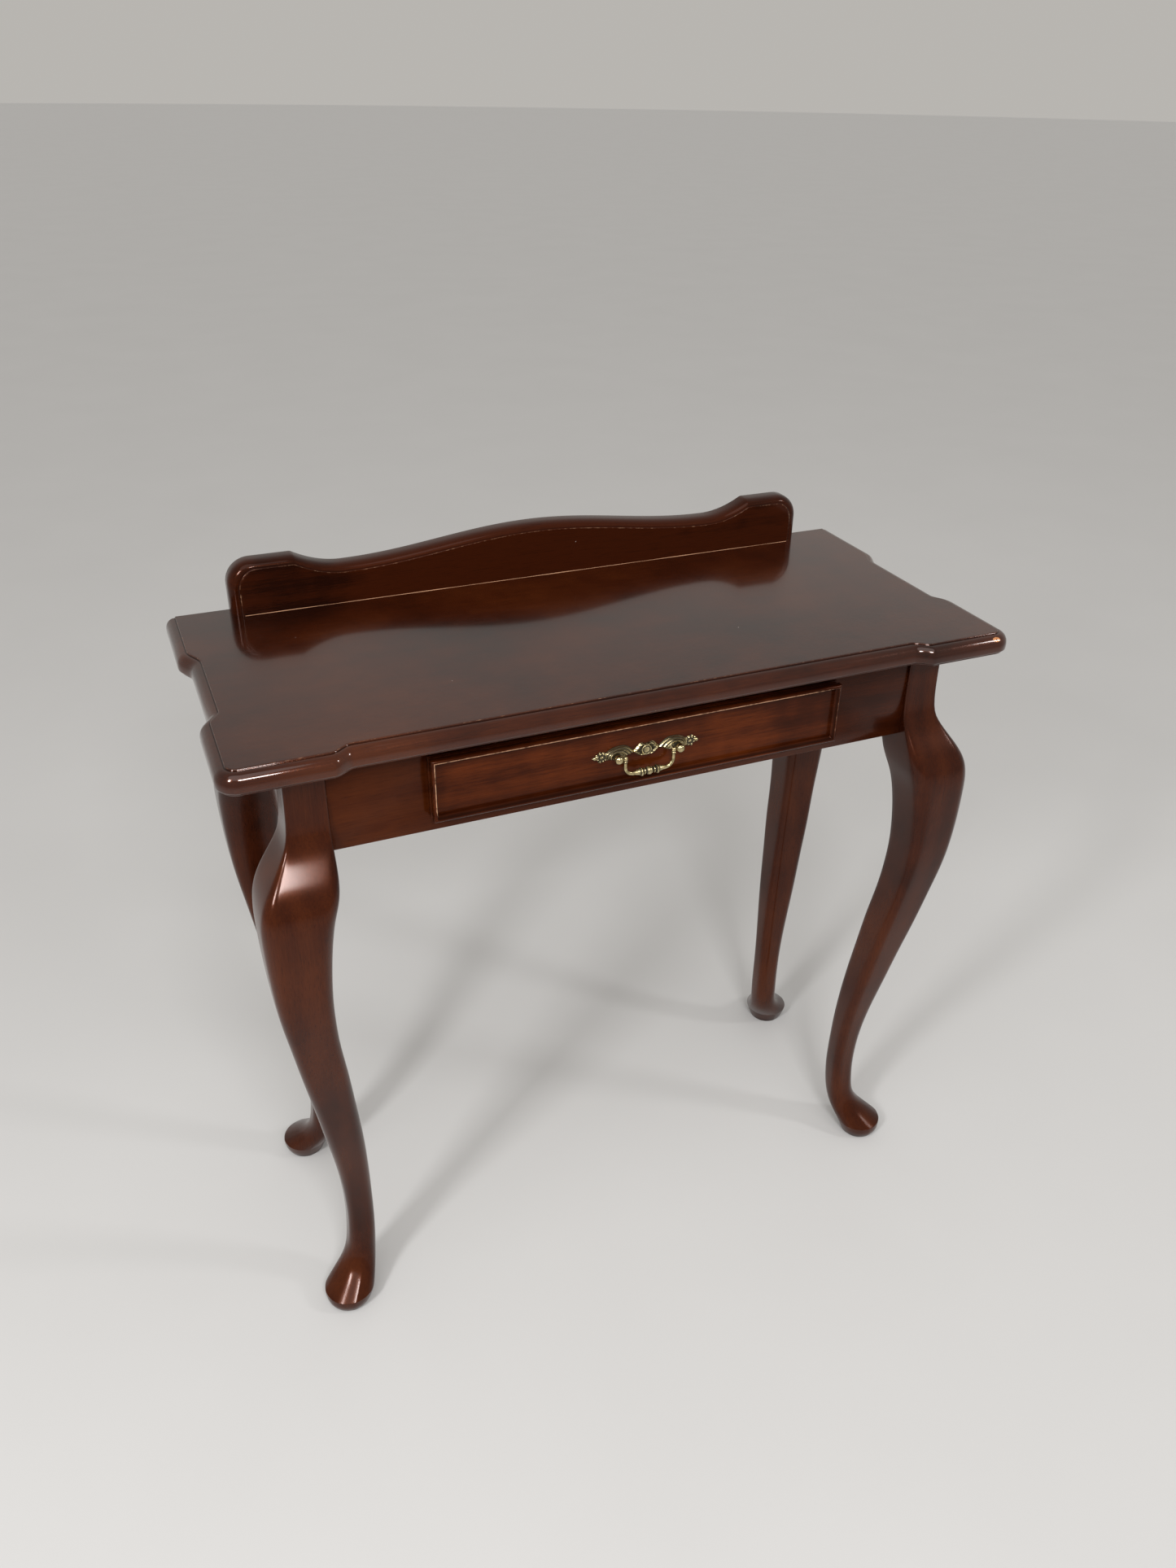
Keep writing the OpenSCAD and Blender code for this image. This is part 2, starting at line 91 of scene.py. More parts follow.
def steps(start, end, count):
    """count + 1 even values from start to end."""
    return [start + (end - start) * k / count for k in range(count + 1)]


def in_mm(*rows):
    """Rows whose first two values are millimetres, with those two turned into metres."""
    return [(row[0] * MM, row[1] * MM, *row[2:]) for row in rows]


# ---- settings


def length(name, description, default):
    return FloatProperty(
        name=name, description=description, default=default, unit="LENGTH", subtype="DISTANCE"
    )


def colour(name, description, default):
    return FloatVectorProperty(
        name=name, description=description, default=default, size=4, min=0, max=1, subtype="COLOR"
    )


class MouldingSettings(bpy.types.PropertyGroup):
    """Sizes of the worked edges"""

    thumb: length("Thumb moulding", "Width of the moulding round the top", 9 * MM)
    quirk: length("Quirk", "Height of the small step inside the top's moulding", 1.5 * MM)
    nose: length("Nose", "Height of the top's edge under the moulding", 8 * MM)
    bay: length("Bay", "How far the top's serpentine edge steps back", 10 * MM)
    corner: length("Corner", "Radius of the top's front corners", 20 * MM)
    lobe_round: length("Gallery corner", "Radius of the gallery's end corners", 26 * MM)
    softening: length("Softening", "Width of the softened edges of plain boards", 0.7 * MM)


class HandleSettings(bpy.types.PropertyGroup):
    """Sizes of the brass handle"""

    drop: length("Drop", "Drop of the bail below its pivots", 18 * MM)
    bow: length("Bow", "Radius of the bail's bends", 8.5 * MM)
    ball: length("Post ball", "Radius of the balls on the posts", 4.7 * MM)
    ribs: IntProperty(name="Shell ribs", description="Ribs on each shell", default=3, min=2, max=8)
    beads: IntProperty(name="Beads", description="Beads on each finial", default=4, min=0, max=8)


class FinishSettings(bpy.types.PropertyGroup):
    """Colours of the finishes"""

    wood_dark: colour("Mahogany, dark", "Darkest tone of the polished wood", (0.0085, 0.0016, 0.0005, 1))
    wood_mid: colour("Mahogany, middle", "Middle tone of the polished wood", (0.029, 0.0052, 0.0011, 1))
    wood_light: colour("Mahogany, light", "Lightest tone of the polished wood", (0.056, 0.012, 0.0023, 1))
    front_light: colour("Drawer front, light", "Lightest tone of the red front", (0.094, 0.019, 0.0034, 1))
    bare: colour("Bare wood", "Wood where a chip of the polish is gone", (0.48, 0.20, 0.075, 1))
    varnish: colour("Varnish", "Warm tint of the varnish's gloss", (0.90, 0.24, 0.09, 1))
    worn: colour("Worn edge", "Polish rubbed through on the edges", (0.42, 0.235, 0.14, 1))
    pine_light: colour("Softwood, light", "Pale wood of the inside pieces", (0.52, 0.34, 0.18, 1))
    pine_dark: colour("Softwood, dark", "Late wood of the inside pieces", (0.33, 0.18, 0.08, 1))
    brass_high: colour("Brass, rubbed", "Rubbed high spots of the handle", (0.66, 0.55, 0.31, 1))
    brass_low: colour("Brass, aged", "Darkened hollows of the handle", (0.035, 0.026, 0.012, 1))
    steel: colour("Steel", "Screws and nuts", (0.50, 0.49, 0.46, 1))


class SideTableSettings(bpy.types.PropertyGroup):
    """Everything a user would change"""

    moulding: PointerProperty(type=MouldingSettings)
    handle: PointerProperty(type=HandleSettings)
    finish: PointerProperty(type=FinishSettings)


def settings():
    return bpy.context.scene.side_table


# ---- materials


class Wire:
    """An output socket. Arithmetic on it adds Math nodes to its tree."""

    def __init__(self, paint, socket):
        self.paint, self.socket = paint, socket

    def math(self, operation, *values):
        return self.paint.node("ShaderNodeMath", {"operation": operation}, dict(enumerate(values)))

    def __add__(self, other):
        return self.math("ADD", self, other)

    def __sub__(self, other):
        return self.math("SUBTRACT", self, other)

    def __rsub__(self, other):
        return self.math("SUBTRACT", other, self)

    def __mul__(self, other):
        return self.math("MULTIPLY", self, other)

    def __pow__(self, other):
        return self.math("POWER", self, other)

    __radd__ = __add__
    __rmul__ = __mul__

    def sine(self):
        return self.math("SINE", self)

    def above(self, low, high):
        """0 below low, 1 above high, smooth between."""
        return self.paint.node(
            "ShaderNodeMapRange", {"interpolation_type": "SMOOTHSTEP"}, {0: self, 1: low, 2: high}
        )


class Paint:
    """The node tree of one material."""

    def __init__(self, name):
        self.material = bpy.data.materials.new(name)
        self.material.use_nodes = True
        self.tree = self.material.node_tree
        self.tree.nodes.clear()
        self.place = self.node("ShaderNodeTexCoord", out="Object")

    def node(self, kind, setup=None, inputs=None, out=0):
        """Adds a node: setup first, then the values or links of its sockets."""
        made = self.tree.nodes.new(kind)
        for key, value in (setup or {}).items():
            if key == "stops":
                ramp = made.color_ramp
                while len(ramp.elements) < len(value):
                    ramp.elements.new(1)
                for element, (position, tint) in zip(ramp.elements, value):
                    element.position, element.color = position, tint
            else:
                setattr(made, key, value)
        for key, value in (inputs or {}).items():
            socket = made.inputs[key]
            if isinstance(value, Wire):
                self.tree.links.new(value.socket, socket)
            else:
                socket.default_value = value
        return Wire(self, made.outputs[out]) if made.outputs else None

    def stretched(self, scale, turn=(0, 0, 0), shift=(0, 0, 0)):
        """Object coordinates, moved, turned and scaled."""
        moved = self.node("ShaderNodeMapping", None, {0: self.place, 1: shift, 2: turn})
        return self.node("ShaderNodeMapping", None, {0: moved, 3: scale})

    def part(self, vector, axis):
        return self.node("ShaderNodeSeparateXYZ", None, {0: vector}, out=axis)

    def noise(self, where, scale, detail=3.0, roughness=0.55):
        inputs = {"Vector": where, "Scale": scale, "Detail": detail, "Roughness": roughness}
        return self.node("ShaderNodeTexNoise", None, inputs)

    def ramp(self, value, stops):
        return self.node("ShaderNodeValToRGB", {"stops": stops}, {0: value})

    def mixed(self, share, first, second):
        inputs = {0: share, 6: first, 7: second}
        return self.node("ShaderNodeMix", {"data_type": "RGBA"}, inputs, out=2)

    def attribute(self, name):
        return self.node("ShaderNodeAttribute", {"attribute_name": name}, out="Fac")

    def bump(self, height, distance):
        return self.node("ShaderNodeBump", None, {"Height": height, "Distance": distance, "Strength": 1.0})

    def finish(self, **sockets):
        """Ends the tree in one Principled shader."""
        inputs = {key.replace("_", " "): value for key, value in sockets.items()}
        shader = self.node("ShaderNodeBsdfPrincipled", None, inputs)
        self.node("ShaderNodeOutputMaterial", None, {"Surface": shader})
        return self.material


GRAIN_TURN = {"x": (0, QUARTER, 0), "y": (QUARTER, 0, 0), "z": (0, 0, 0)}


def timber(paint, grain, pith, ring_gap, seed):
    """Rings, fibres, pores and slow warp of a board whose grain runs along one axis, each 0 to 1."""

    def along(stretch):
        return paint.stretched((1, 1, stretch), GRAIN_TURN[grain], seed)

    warp = paint.noise(along(0.16), 7.0, 3.0, 0.6)
    apart = paint.part(along(1), "X")
    other = paint.part(along(1), "Y")
    reach = ((apart + pith[0]) ** 2 + (other + pith[1]) ** 2) ** 0.5
    ring = ((reach + warp * 0.035) * (TURN / ring_gap)).sine() * 0.5 + 0.5
    fibre = paint.noise(along(0.05), 420.0, 4.0, 0.65)
    pores = paint.noise(along(0.028), 1500.0, 2.0, 0.5)
    return ring, fibre, pores, warp


# The chip in the top's right front corner: its place, its stretch, and its inner and outer edge
NICK = (0.3791, -0.1727, 0.7178)
NICK_SPREAD = (0.62, 1, 1)
NICK_CORE, NICK_RIM = (0.0003, 0.0010), (0.0022, 0.0028)
# Flecks of dust: cells to a metre, the share of cells that has one, and its soft edge
FLECK_CELLS = 42.0
FLECK_CHOICE, FLECK_EDGE = (0.86, 0.865), (0.015, 0.028)
DUST = (0.75, 0.66, 0.6, 1)
# Near-black painted shade for the quirks, the drawer lip's step and the foot's base
PAINTED_SHADE = (0.006, 0.002, 0.0015, 1)
MAHOGANY_RINGS = 0.026


def polished_mahogany(
    name, grain, light, pith=(0.11, 0.07), ripple=0.0, seed=(0.0, 0.0, 0.0), coat=0.2, gloss=0.08
):
    """Stained mahogany under varnish. The mesh's attribute of wear and painted light rubs it through where it
    is above 0, and paints shade, a near-black with less coat, where it is below 0."""
    tint = settings().finish
    paint = Paint(name)
    ring, fibre, pores, warp = timber(paint, grain, pith, MAHOGANY_RINGS, seed)
    cloud = paint.noise(paint.place, 5.5, 4.0, 0.6)
    thread = paint.noise(paint.stretched((1, 1, 0.06), GRAIN_TURN[grain], seed), 1500.0, 3.0, 0.6)
    tone = ring * 0.06 + fibre * 0.20 + thread * 0.13 + warp * 0.2 + cloud * 0.76 - 0.185
    stain = paint.ramp(tone, [(0.34, tint.wood_dark[:]), (0.47, tint.wood_mid[:]), (0.64, light[:])])
    stain = paint.mixed(pores.above(0.58, 0.68) * 0.5, stain, tint.wood_dark[:])
    wear = paint.attribute("wear")
    rub = paint.noise(paint.place, 190.0, 4.0, 0.7)
    # Rubbed-through polish on worn edges; on the foot's rim it makes a painted highlight line
    worn = (wear * 0.95 + rub * 0.9 - 0.62).above(0.18, 0.52) * wear.above(0.0, 0.6)
    stain = paint.mixed(worn, stain, tint.worn[:])
    # Painted shade: near-black, with less coat, where the attribute is below 0
    dirt_and_painted_shade = (wear * -1.0).above(0.05, 0.8)
    stain = paint.mixed(dirt_and_painted_shade * 0.85, stain, PAINTED_SHADE)
    cell = {"Vector": paint.place, "Scale": FLECK_CELLS}
    fleck = paint.node("ShaderNodeTexVoronoi", {"feature": "F1"}, cell)
    chosen = paint.node("ShaderNodeTexVoronoi", {"feature": "F1"}, cell, out="Color")
    dust = (1 - fleck.above(*FLECK_EDGE)) * paint.part(chosen, "X").above(*FLECK_CHOICE)
    stain = paint.mixed(dust * 0.8, stain, DUST)
    haze = paint.noise(paint.place, 11.0, 3.0, 0.6)
    skin = fibre * 0.35 + rub * 0.10
    if ripple:
        away = {0: paint.stretched(NICK_SPREAD), 1: [c * k for c, k in zip(NICK, NICK_SPREAD)]}
        reach = paint.node("ShaderNodeVectorMath", {"operation": "DISTANCE"}, away, out="Value")
        nick = (1 - (reach + rub * 0.004 - 0.002).above(*NICK_RIM)) * reach.above(*NICK_CORE)
        stain = paint.mixed(nick, stain, tint.bare[:])
        wave = paint.noise(paint.stretched((1, 0.75, 1)), 210.0, 2.0, 0.55)
        skin = skin + wave * (1 - paint.part(paint.place, "Y").above(-0.11, 0.02)) * ripple
    return paint.finish(
        Base_Color=stain,
        Roughness=haze * 0.16 + worn * 0.3 + 0.14,
        Specular_IOR_Level=0.2,
        Specular_Tint=tint.varnish[:],
        Coat_Weight=(1 - worn * 0.6) * (1 - dirt_and_painted_shade * 0.7) * coat,
        Coat_Roughness=gloss,
        Coat_IOR=1.5,
        Normal=paint.bump(skin, 0.00005),
    )


def softwood(name, grain, seed):
    """Plain unpolished softwood."""
    tint = settings().finish
    paint = Paint(name)
    ring, fibre, pores, warp = timber(paint, grain, (0.06, 0.03), 0.006, seed)
    tone = ring ** 2.0 * 0.5 + fibre * 0.25 + warp * 0.3
    wood = paint.ramp(tone, [(0.2, tint.pine_light[:]), (0.85, tint.pine_dark[:])])
    dirt_and_painted_shade = paint.noise(paint.place, 9.0, 4.0, 0.6).above(0.45, 0.75)
    wood = paint.mixed(dirt_and_painted_shade * 0.35, wood, (0.22, 0.12, 0.06, 1))
    edge = paint.attribute("wear")
    wood = paint.mixed(edge * 0.3, wood, (0.75, 0.58, 0.38, 1))
    return paint.finish(
        Base_Color=wood, Roughness=fibre * 0.2 + 0.55, Normal=paint.bump(fibre * 0.7 + pores * 0.5, 0.0002)
    )


PLY_LIGHT, PLY_DARK = (0.44, 0.29, 0.155, 1), (0.29, 0.17, 0.08, 1)


def plywood():
    """Thin plywood with a pale face veneer."""
    tint = settings().finish
    paint = Paint("drawer_plywood")
    ring, fibre, pores, warp = timber(paint, "x", (0.4, 0.02), 0.02, (0.3, 0.1, 0.0))
    wood = paint.ramp(ring * 0.3 + fibre * 0.4 + warp * 0.3, [(0.25, PLY_LIGHT), (0.8, PLY_DARK)])
    wood = paint.mixed(pores.above(0.62, 0.7) * 0.4, wood, tint.pine_dark[:])
    return paint.finish(Base_Color=wood, Roughness=fibre * 0.15 + 0.5, Normal=paint.bump(fibre, 0.00012))


def antique_brass():
    """Rubbed brass that has darkened in its hollows."""
    tint = settings().finish
    paint = Paint("antique_brass")
    hollow = paint.attribute("wear")
    cloud = paint.noise(paint.place, 260.0, 4.0, 0.6)
    fine = paint.noise(paint.place, 1900.0, 2.0, 0.6)
    age = (hollow * 1.25 + cloud * 0.5 - 0.25).above(0.05, 0.8)
    metal = paint.mixed(cloud.above(0.3, 0.7), tint.brass_high[:], (0.33, 0.27, 0.14, 1))
    metal = paint.mixed(age, metal, tint.brass_low[:])
    return paint.finish(
        Base_Color=metal,
        Metallic=1 - age * 0.5,
        Roughness=age * 0.35 + fine * 0.12 + 0.16,
        Normal=paint.bump(fine * 0.5 + cloud, 0.00008),
    )


def screw_steel():
    """Zinc-grey steel with light tarnish."""
    tint = settings().finish
    paint = Paint("screw_steel")
    cloud = paint.noise(paint.place, 420.0, 4.0, 0.6)
    metal = paint.mixed(cloud.above(0.45, 0.75), tint.steel[:], (0.25, 0.21, 0.17, 1))
    rough = cloud * 0.3 + 0.25
    return paint.finish(Base_Color=metal, Metallic=1.0, Roughness=rough, Normal=paint.bump(cloud, 0.00005))


MADE = {}


def finish_named(name):
    """Each finish is made once, when a piece first asks for it."""
    if name in MADE:
        return MADE[name]
    tint = settings().finish
    dark, light, red = tint.wood_mid, tint.wood_light, tint.front_light

    def mahogany(kind, grain, tone, **more):
        return lambda: polished_mahogany(f"mahogany_{kind}", grain, tone, **more)

    makers = {
        "top": mahogany("top", "x", light, ripple=3.2, coat=0.78, gloss=0.09),
        # Painted shade: the gallery, and the rear apron that shares its finish, take the middle tone as their
        # lightest, a darker copy of the mahogany
        "gallery": mahogany("gallery", "x", dark, seed=(0.4, 0.1, 0.3), coat=0.2),
        "leg": mahogany("legs", "z", light, pith=(0.05, 0.02), seed=(0.7, 0.3, 0), coat=0.30, gloss=0.13),
        "apron": mahogany("apron", "x", light, seed=(0.1, 0.5, 0.2), coat=0.12),
        "end_apron": mahogany("end_apron", "y", light, seed=(0.6, 0.2, 0.2)),
        "front": mahogany("front", "x", red, seed=(0.9, 0.4, 0.6), coat=0.12),
        "pine_x": lambda: softwood("softwood_across", "x", (0.2, 0.6, 0.1)),
        "pine_y": lambda: softwood("softwood_runners", "y", (0.5, 0.1, 0.8)),
        "pine_z": lambda: softwood("softwood_blocks", "z", (0.3, 0.3, 0.4)),
        "ply": plywood,
        "brass": antique_brass,
        "steel": screw_steel,
    }
    MADE[name] = makers[name]()
    return MADE[name]


# ---- mesh building


# The vertex layer of wear, which also holds painted shade below 0 and the foot rim's painted highlight
def wear_and_painted_light_layer(bm):
    return bm.verts.layers.float.get("wear") or bm.verts.layers.float.new("wear")


def add_skin(bm, rings, wear=None, caps=True):
    """Adds a skin through rings of equally many points, closed at both ends."""
    layer = wear_and_painted_light_layer(bm)
    rows = []
    for k, ring in enumerate(rings):
        row = [bm.verts.new(p) for p in ring]
        for i, vert in enumerate(row):
            share = wear[k] if wear else 0.0
            vert[layer] = share[i] if isinstance(share, (list, tuple)) else share
        rows.append(row)
    faces = []
    for low, high in zip(rows, rows[1:]):
        for i in range(len(low)):
            j = (i + 1) % len(low)
            faces.append(bm.faces.new((low[i], low[j], high[j], high[i])))
    if caps:
        faces += [bm.faces.new(rows[0][::-1]), bm.faces.new(rows[-1])]
    bmesh.ops.recalc_face_normals(bm, faces=faces)
    return rows


def mesh_of(bm, name, sharp=SHARP_EDGE):
    """Turns bm into a mesh that shades smooth up to its sharp edges."""
    mesh = bpy.data.meshes.new(name)
    bm.to_mesh(mesh)
    bm.free()
    mesh.shade_smooth()
    mesh.set_sharp_from_angle(angle=sharp)
    return mesh


def linked(name, data):
    """A new object in the scene."""
    made = bpy.data.objects.new(name, data)
    bpy.context.scene.collection.objects.link(made)
    return made


def place_piece(name, mesh, finish, body, replaced=()):
    """Makes a finished mesh a piece of the table."""
    mesh.materials.clear()
    mesh.materials.append(finish_named(finish))
    piece = linked(name, mesh)
    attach(piece, body)
    if replaced:
        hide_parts(*replaced)
    return piece


def merged_copy(node):
    """A CAD node's mesh with its triangles joined up and its flat faces whole."""
    bm = bmesh.new()
    bm.from_mesh(frame["nodes"][node].data)
    bmesh.ops.remove_doubles(bm, verts=bm.verts, dist=2e-6)
    bmesh.ops.dissolve_limit(bm, angle_limit=math.radians(0.4), verts=bm.verts, edges=bm.edges)
    return bm


def soften(bm, width):
    """Bevels every square edge and marks it as worn."""
    layer = wear_and_painted_light_layer(bm)
    square = [e for e in bm.edges if e.is_manifold and e.calc_face_angle() > SQUARE_EDGE]
    made = bmesh.ops.bevel(
        bm, geom=square, offset=width, segments=2, affect="EDGES", profile=0.5, clamp_overlap=True
    )
    rounded = set(made["faces"])
    for vert in made["verts"]:
        if all(face in rounded for face in vert.link_faces):
            vert[layer] = 0.5


def board(node, finish, body, width=None, suffix="board"):
    """A plain board: the CAD node's shape with softened edges."""
    bm = merged_copy(node)
    soften(bm, settings().moulding.softening if width is None else width)
    place_piece(f"{node}_{suffix}", mesh_of(bm, node), finish, body, (node,))


# ---- top and gallery

BEND_REAR, BEND_REAR_RUN = 92 * MM, 30 * MM
BEND_FRONT, BEND_FRONT_RUN = 230 * MM, 22 * MM
WAVE_START, WAVE_RUN = 285 * MM, 20 * MM
STEEP = 1.2


def quarter_round(width, start, rise, count, low_wear, high_wear):
    """Rows of a moulding that turns from upright to flat: inset, height, wear."""
    rows = []
    for a in steps(0, QUARTER, count)[1:]:
        wear = low_wear if a < STEEP else high_wear
        rows.append((width * (1 - math.cos(a)), start + rise * math.sin(a), wear))
    return rows


def top_outline(inset):
    """The top's outline, anticlockwise from its rear right corner when seen from above."""
    size = settings().moulding
    width, depth, back = TOP_HI.x, TOP_HI.y - TOP_LO.y, TOP_HI.y
    hw, front, r = width - inset, depth - inset, size.corner - inset
    stops = (0, BEND_REAR, BEND_REAR + BEND_REAR_RUN, BEND_FRONT, BEND_FRONT + BEND_FRONT_RUN)
    side_v = [0.0]
    for start, end, count in zip(stops, stops[1:] + (depth - size.corner,), (4, 10, 4, 10, 4)):
        side_v += steps(start, end, count)[1:]
    side_v.pop()
    half = []
    for v in side_v:
        step = ease((v - BEND_REAR) / BEND_REAR_RUN) - ease((v - BEND_FRONT) / BEND_FRONT_RUN)
        half.append((hw - size.bay * step, back - v))
    for a in steps(0, QUARTER, 12):
        half.append((hw - r + r * math.cos(a), back - front + r - r * math.sin(a)))
    for x in steps(WAVE_START + WAVE_RUN, WAVE_START, 12) + steps(WAVE_START, 0, 12)[1:]:
        step = 1 - ease((x - WAVE_START) / WAVE_RUN)
        half.append((x, back - front + size.bay * step))
    return half + [(-x, y) for x, y in half[-2::-1]]


def top_profile():
    """The top's edge from below upwards: inset, height over the underside, and wear, where values below 0 are
    painted shade in the quirk.
    """
    size = settings().moulding
    thick = TOP_HI.z - TOP_LO.z
    rows = in_mm((4.5, 0, 0), (3.4, 0, 0), (3, 0.4, 0), (3, 1.6, 0))
    rows += in_mm((1.4, 2.3, 0), (0.3, 3.2, 0.1), (0, 4.4, 0.1))
    rows.append((0, size.nose, 0))
    rows += quarter_round(size.thumb, size.nose, thick - size.quirk - size.nose, 9, 0.12, 0.0)
    # Painted shade in the quirk: the two rows below 0
    rows += [(9.9 * MM, thick - size.quirk, -1), (10.3 * MM, thick - 0.9 * MM, -0.8)]
    rows += [(10.5 * MM, thick - 0.35 * MM, 0.25), (10.9 * MM, thick - 0.08 * MM, 0.45)]
    rows += [(11.3 * MM, thick, 0.1), (13 * MM, thick, 0)]
    return rows


class SIDETABLE_OT_top(bpy.types.Operator):
    """Make the top with its serpentine edge and thumb moulding"""

    bl_idname = "side_table.make_top"
    bl_label = "Top"

    def execute(self, context):
        bm = bmesh.new()
        profile = top_profile()
        rings = [[(x, y, TOP_LO.z + z) for x, y in top_outline(inset)] for inset, z, _ in profile]
        add_skin(bm, rings, [wear for _, _, wear in profile])
        mesh = mesh_of(bm, "table_top")
        place_piece("table_top_moulded", mesh, "top", "carcass", ("table_top",))
        return {"FINISHED"}


DIP_X, CUSP_X = 215 * MM, 267 * MM
CREST, LOBE, DIP = 59.2 * MM, 56 * MM, 41 * MM
ROUND_SHARE = 0.55


def crest_height(x):
    """Height of the gallery's upper edge over the top."""
    if x < DIP_X:
        return DIP + (CREST - DIP) * (1 + math.cos(math.pi * x / DIP_X)) / 2
    return DIP + (LOBE - DIP) * ((x - DIP_X) / (CUSP_X - DIP_X)) ** 2


def gallery_outline(end_inset, crest_inset):
    """The gallery's outline from its right foot over the crest to its left foot."""
    r = settings().moulding.lobe_round
    hw, high, foot = GALLERY_HI.x - end_inset, LOBE - crest_inset, GALLERY_LO.z - TOP_HI.z
    rx, rz = r - end_inset * ROUND_SHARE, r - crest_inset * ROUND_SHARE
    half = [(hw, foot), (hw, (high - rz) * 0.5)]
    half += [(hw - rx + rx * math.cos(a), high - rz + rz * math.sin(a)) for a in steps(0, QUARTER, 12)]
    cusp = CUSP_X + 1.5 * MM
    for x in steps(hw - rx, cusp, 6)[1:] + steps(cusp, DIP_X, 26)[1:]:
        half.append((x, min(high, crest_height(x) - crest_inset)))
    half += [(x, crest_height(x) - crest_inset) for x in steps(DIP_X, 0, 40)[1:]]
    return half + [(-x, z) for x, z in half[-2::-1]]


GALLERY_MOULD, GALLERY_MOULD_START, GALLERY_FIELD = 6.9 * MM, 11.5 * MM, 23.4 * MM
END_SHARE, CREST_SHARE = 1.36, 0.93


def gallery_profile():
    """The gallery's edge from back to front: inset, distance from the back, and wear, where values below 0
    are painted shade in the quirk.
    """
    thick = GALLERY_HI.y - GALLERY_LO.y
    rows = in_mm((3.2, 0, 0), (2.0, 0, 0), (0.9, 0.35, 0), (0.25, 1.1, 0.1), (0, 2.2, 0))
    rows.append((0, GALLERY_MOULD_START, 0))
    rise = GALLERY_FIELD - GALLERY_MOULD_START
    rows += quarter_round(GALLERY_MOULD, GALLERY_MOULD_START, rise, 9, 0.1, 0.1)
    # Painted shade in the quirk: the row below 0
    rows += [(7.3 * MM, GALLERY_FIELD, -0.9), (7.7 * MM, thick - 0.5 * MM, 0.3), (8.2 * MM, thick, 0.45)]
    rows.append((9.6 * MM, thick, 0))
    return rows


class SIDETABLE_OT_gallery(bpy.types.Operator):
    """Make the shaped gallery that stands along the back of the top"""

    bl_idname = "side_table.make_gallery"
    bl_label = "Gallery"

    def execute(self, context):
        bm = bmesh.new()
        profile = gallery_profile()
        rings = []
        for inset, depth, _ in profile:
            line = gallery_outline(inset * END_SHARE, inset * CREST_SHARE)
            rings.append([(x, GALLERY_HI.y - depth, TOP_HI.z + z) for x, z in line])
        add_skin(bm, rings, [wear for _, _, wear in profile])
        mesh = mesh_of(bm, "gallery")
        place_piece("gallery_moulded", mesh, "gallery", "carcass", ("gallery",))
        self.make_joint_line()
        return {"FINISHED"}

    def make_joint_line(self):
        """The thin line of old polish in the corner between gallery and top."""
        bm = bmesh.new()
        reach = GALLERY_HI.x - 13 * MM
        y, z = GALLERY_LO.y, TOP_HI.z
        rings = []
        for x in steps(-reach, reach, 60):
            size = (0.30 + 0.16 * math.sin(x * 61) * math.sin(x * 23 + 1)) * MM
            rings.append([(x, y - size, z), (x, y + 0.1 * MM, z - 0.2 * MM), (x, y, z + size)])
        add_skin(bm, rings, [1.0] * len(rings))
        place_piece("gallery_joint_line", mesh_of(bm, "joint_line"), "gallery", "carcass")


# ---- legs

# The foot's rim: its height, the rings just beside it, its painted highlight (a thin pale line in the worn
# colour) and its crease
RIM_Z = 18 * MM
RIM_BELOW, RIM_ABOVE = 0.88, 0.08
RIM_PAINTED_HIGHLIGHT, RIM_CREASE = 0.42, 0.6
# Height under which the foot's base gets painted shade near the floor
FLOOR_SHADE = 5 * MM


def leg_rings(node, side, face):
    """The leg's sections from the floor up, each starting at its outward corner."""
    levels = {}
    for vert in frame["nodes"][node].data.vertices:
        levels.setdefault(round(vert.co.z, 5), set()).add((round(vert.co.x, 6), round(vert.co.y, 6)))
    outward = math.atan2(face, side)
    rings = []
    for z in sorted(levels):
        points = list(levels[z])
        cx = sum(p[0] for p in points) / len(points)
        cy = sum(p[1] for p in points) / len(points)
        points.sort(key=lambda p: (math.atan2(p[1] - cy, p[0] - cx) - outward) % TURN)
        rings.append([(x, y, z) for x, y in points])
    return rings


def between(first, second, share):
    """A ring part of the way from one ring to another."""
    return [tuple(a + (b - a) * share for a, b in zip(p, q)) for p, q in zip(first, second)]


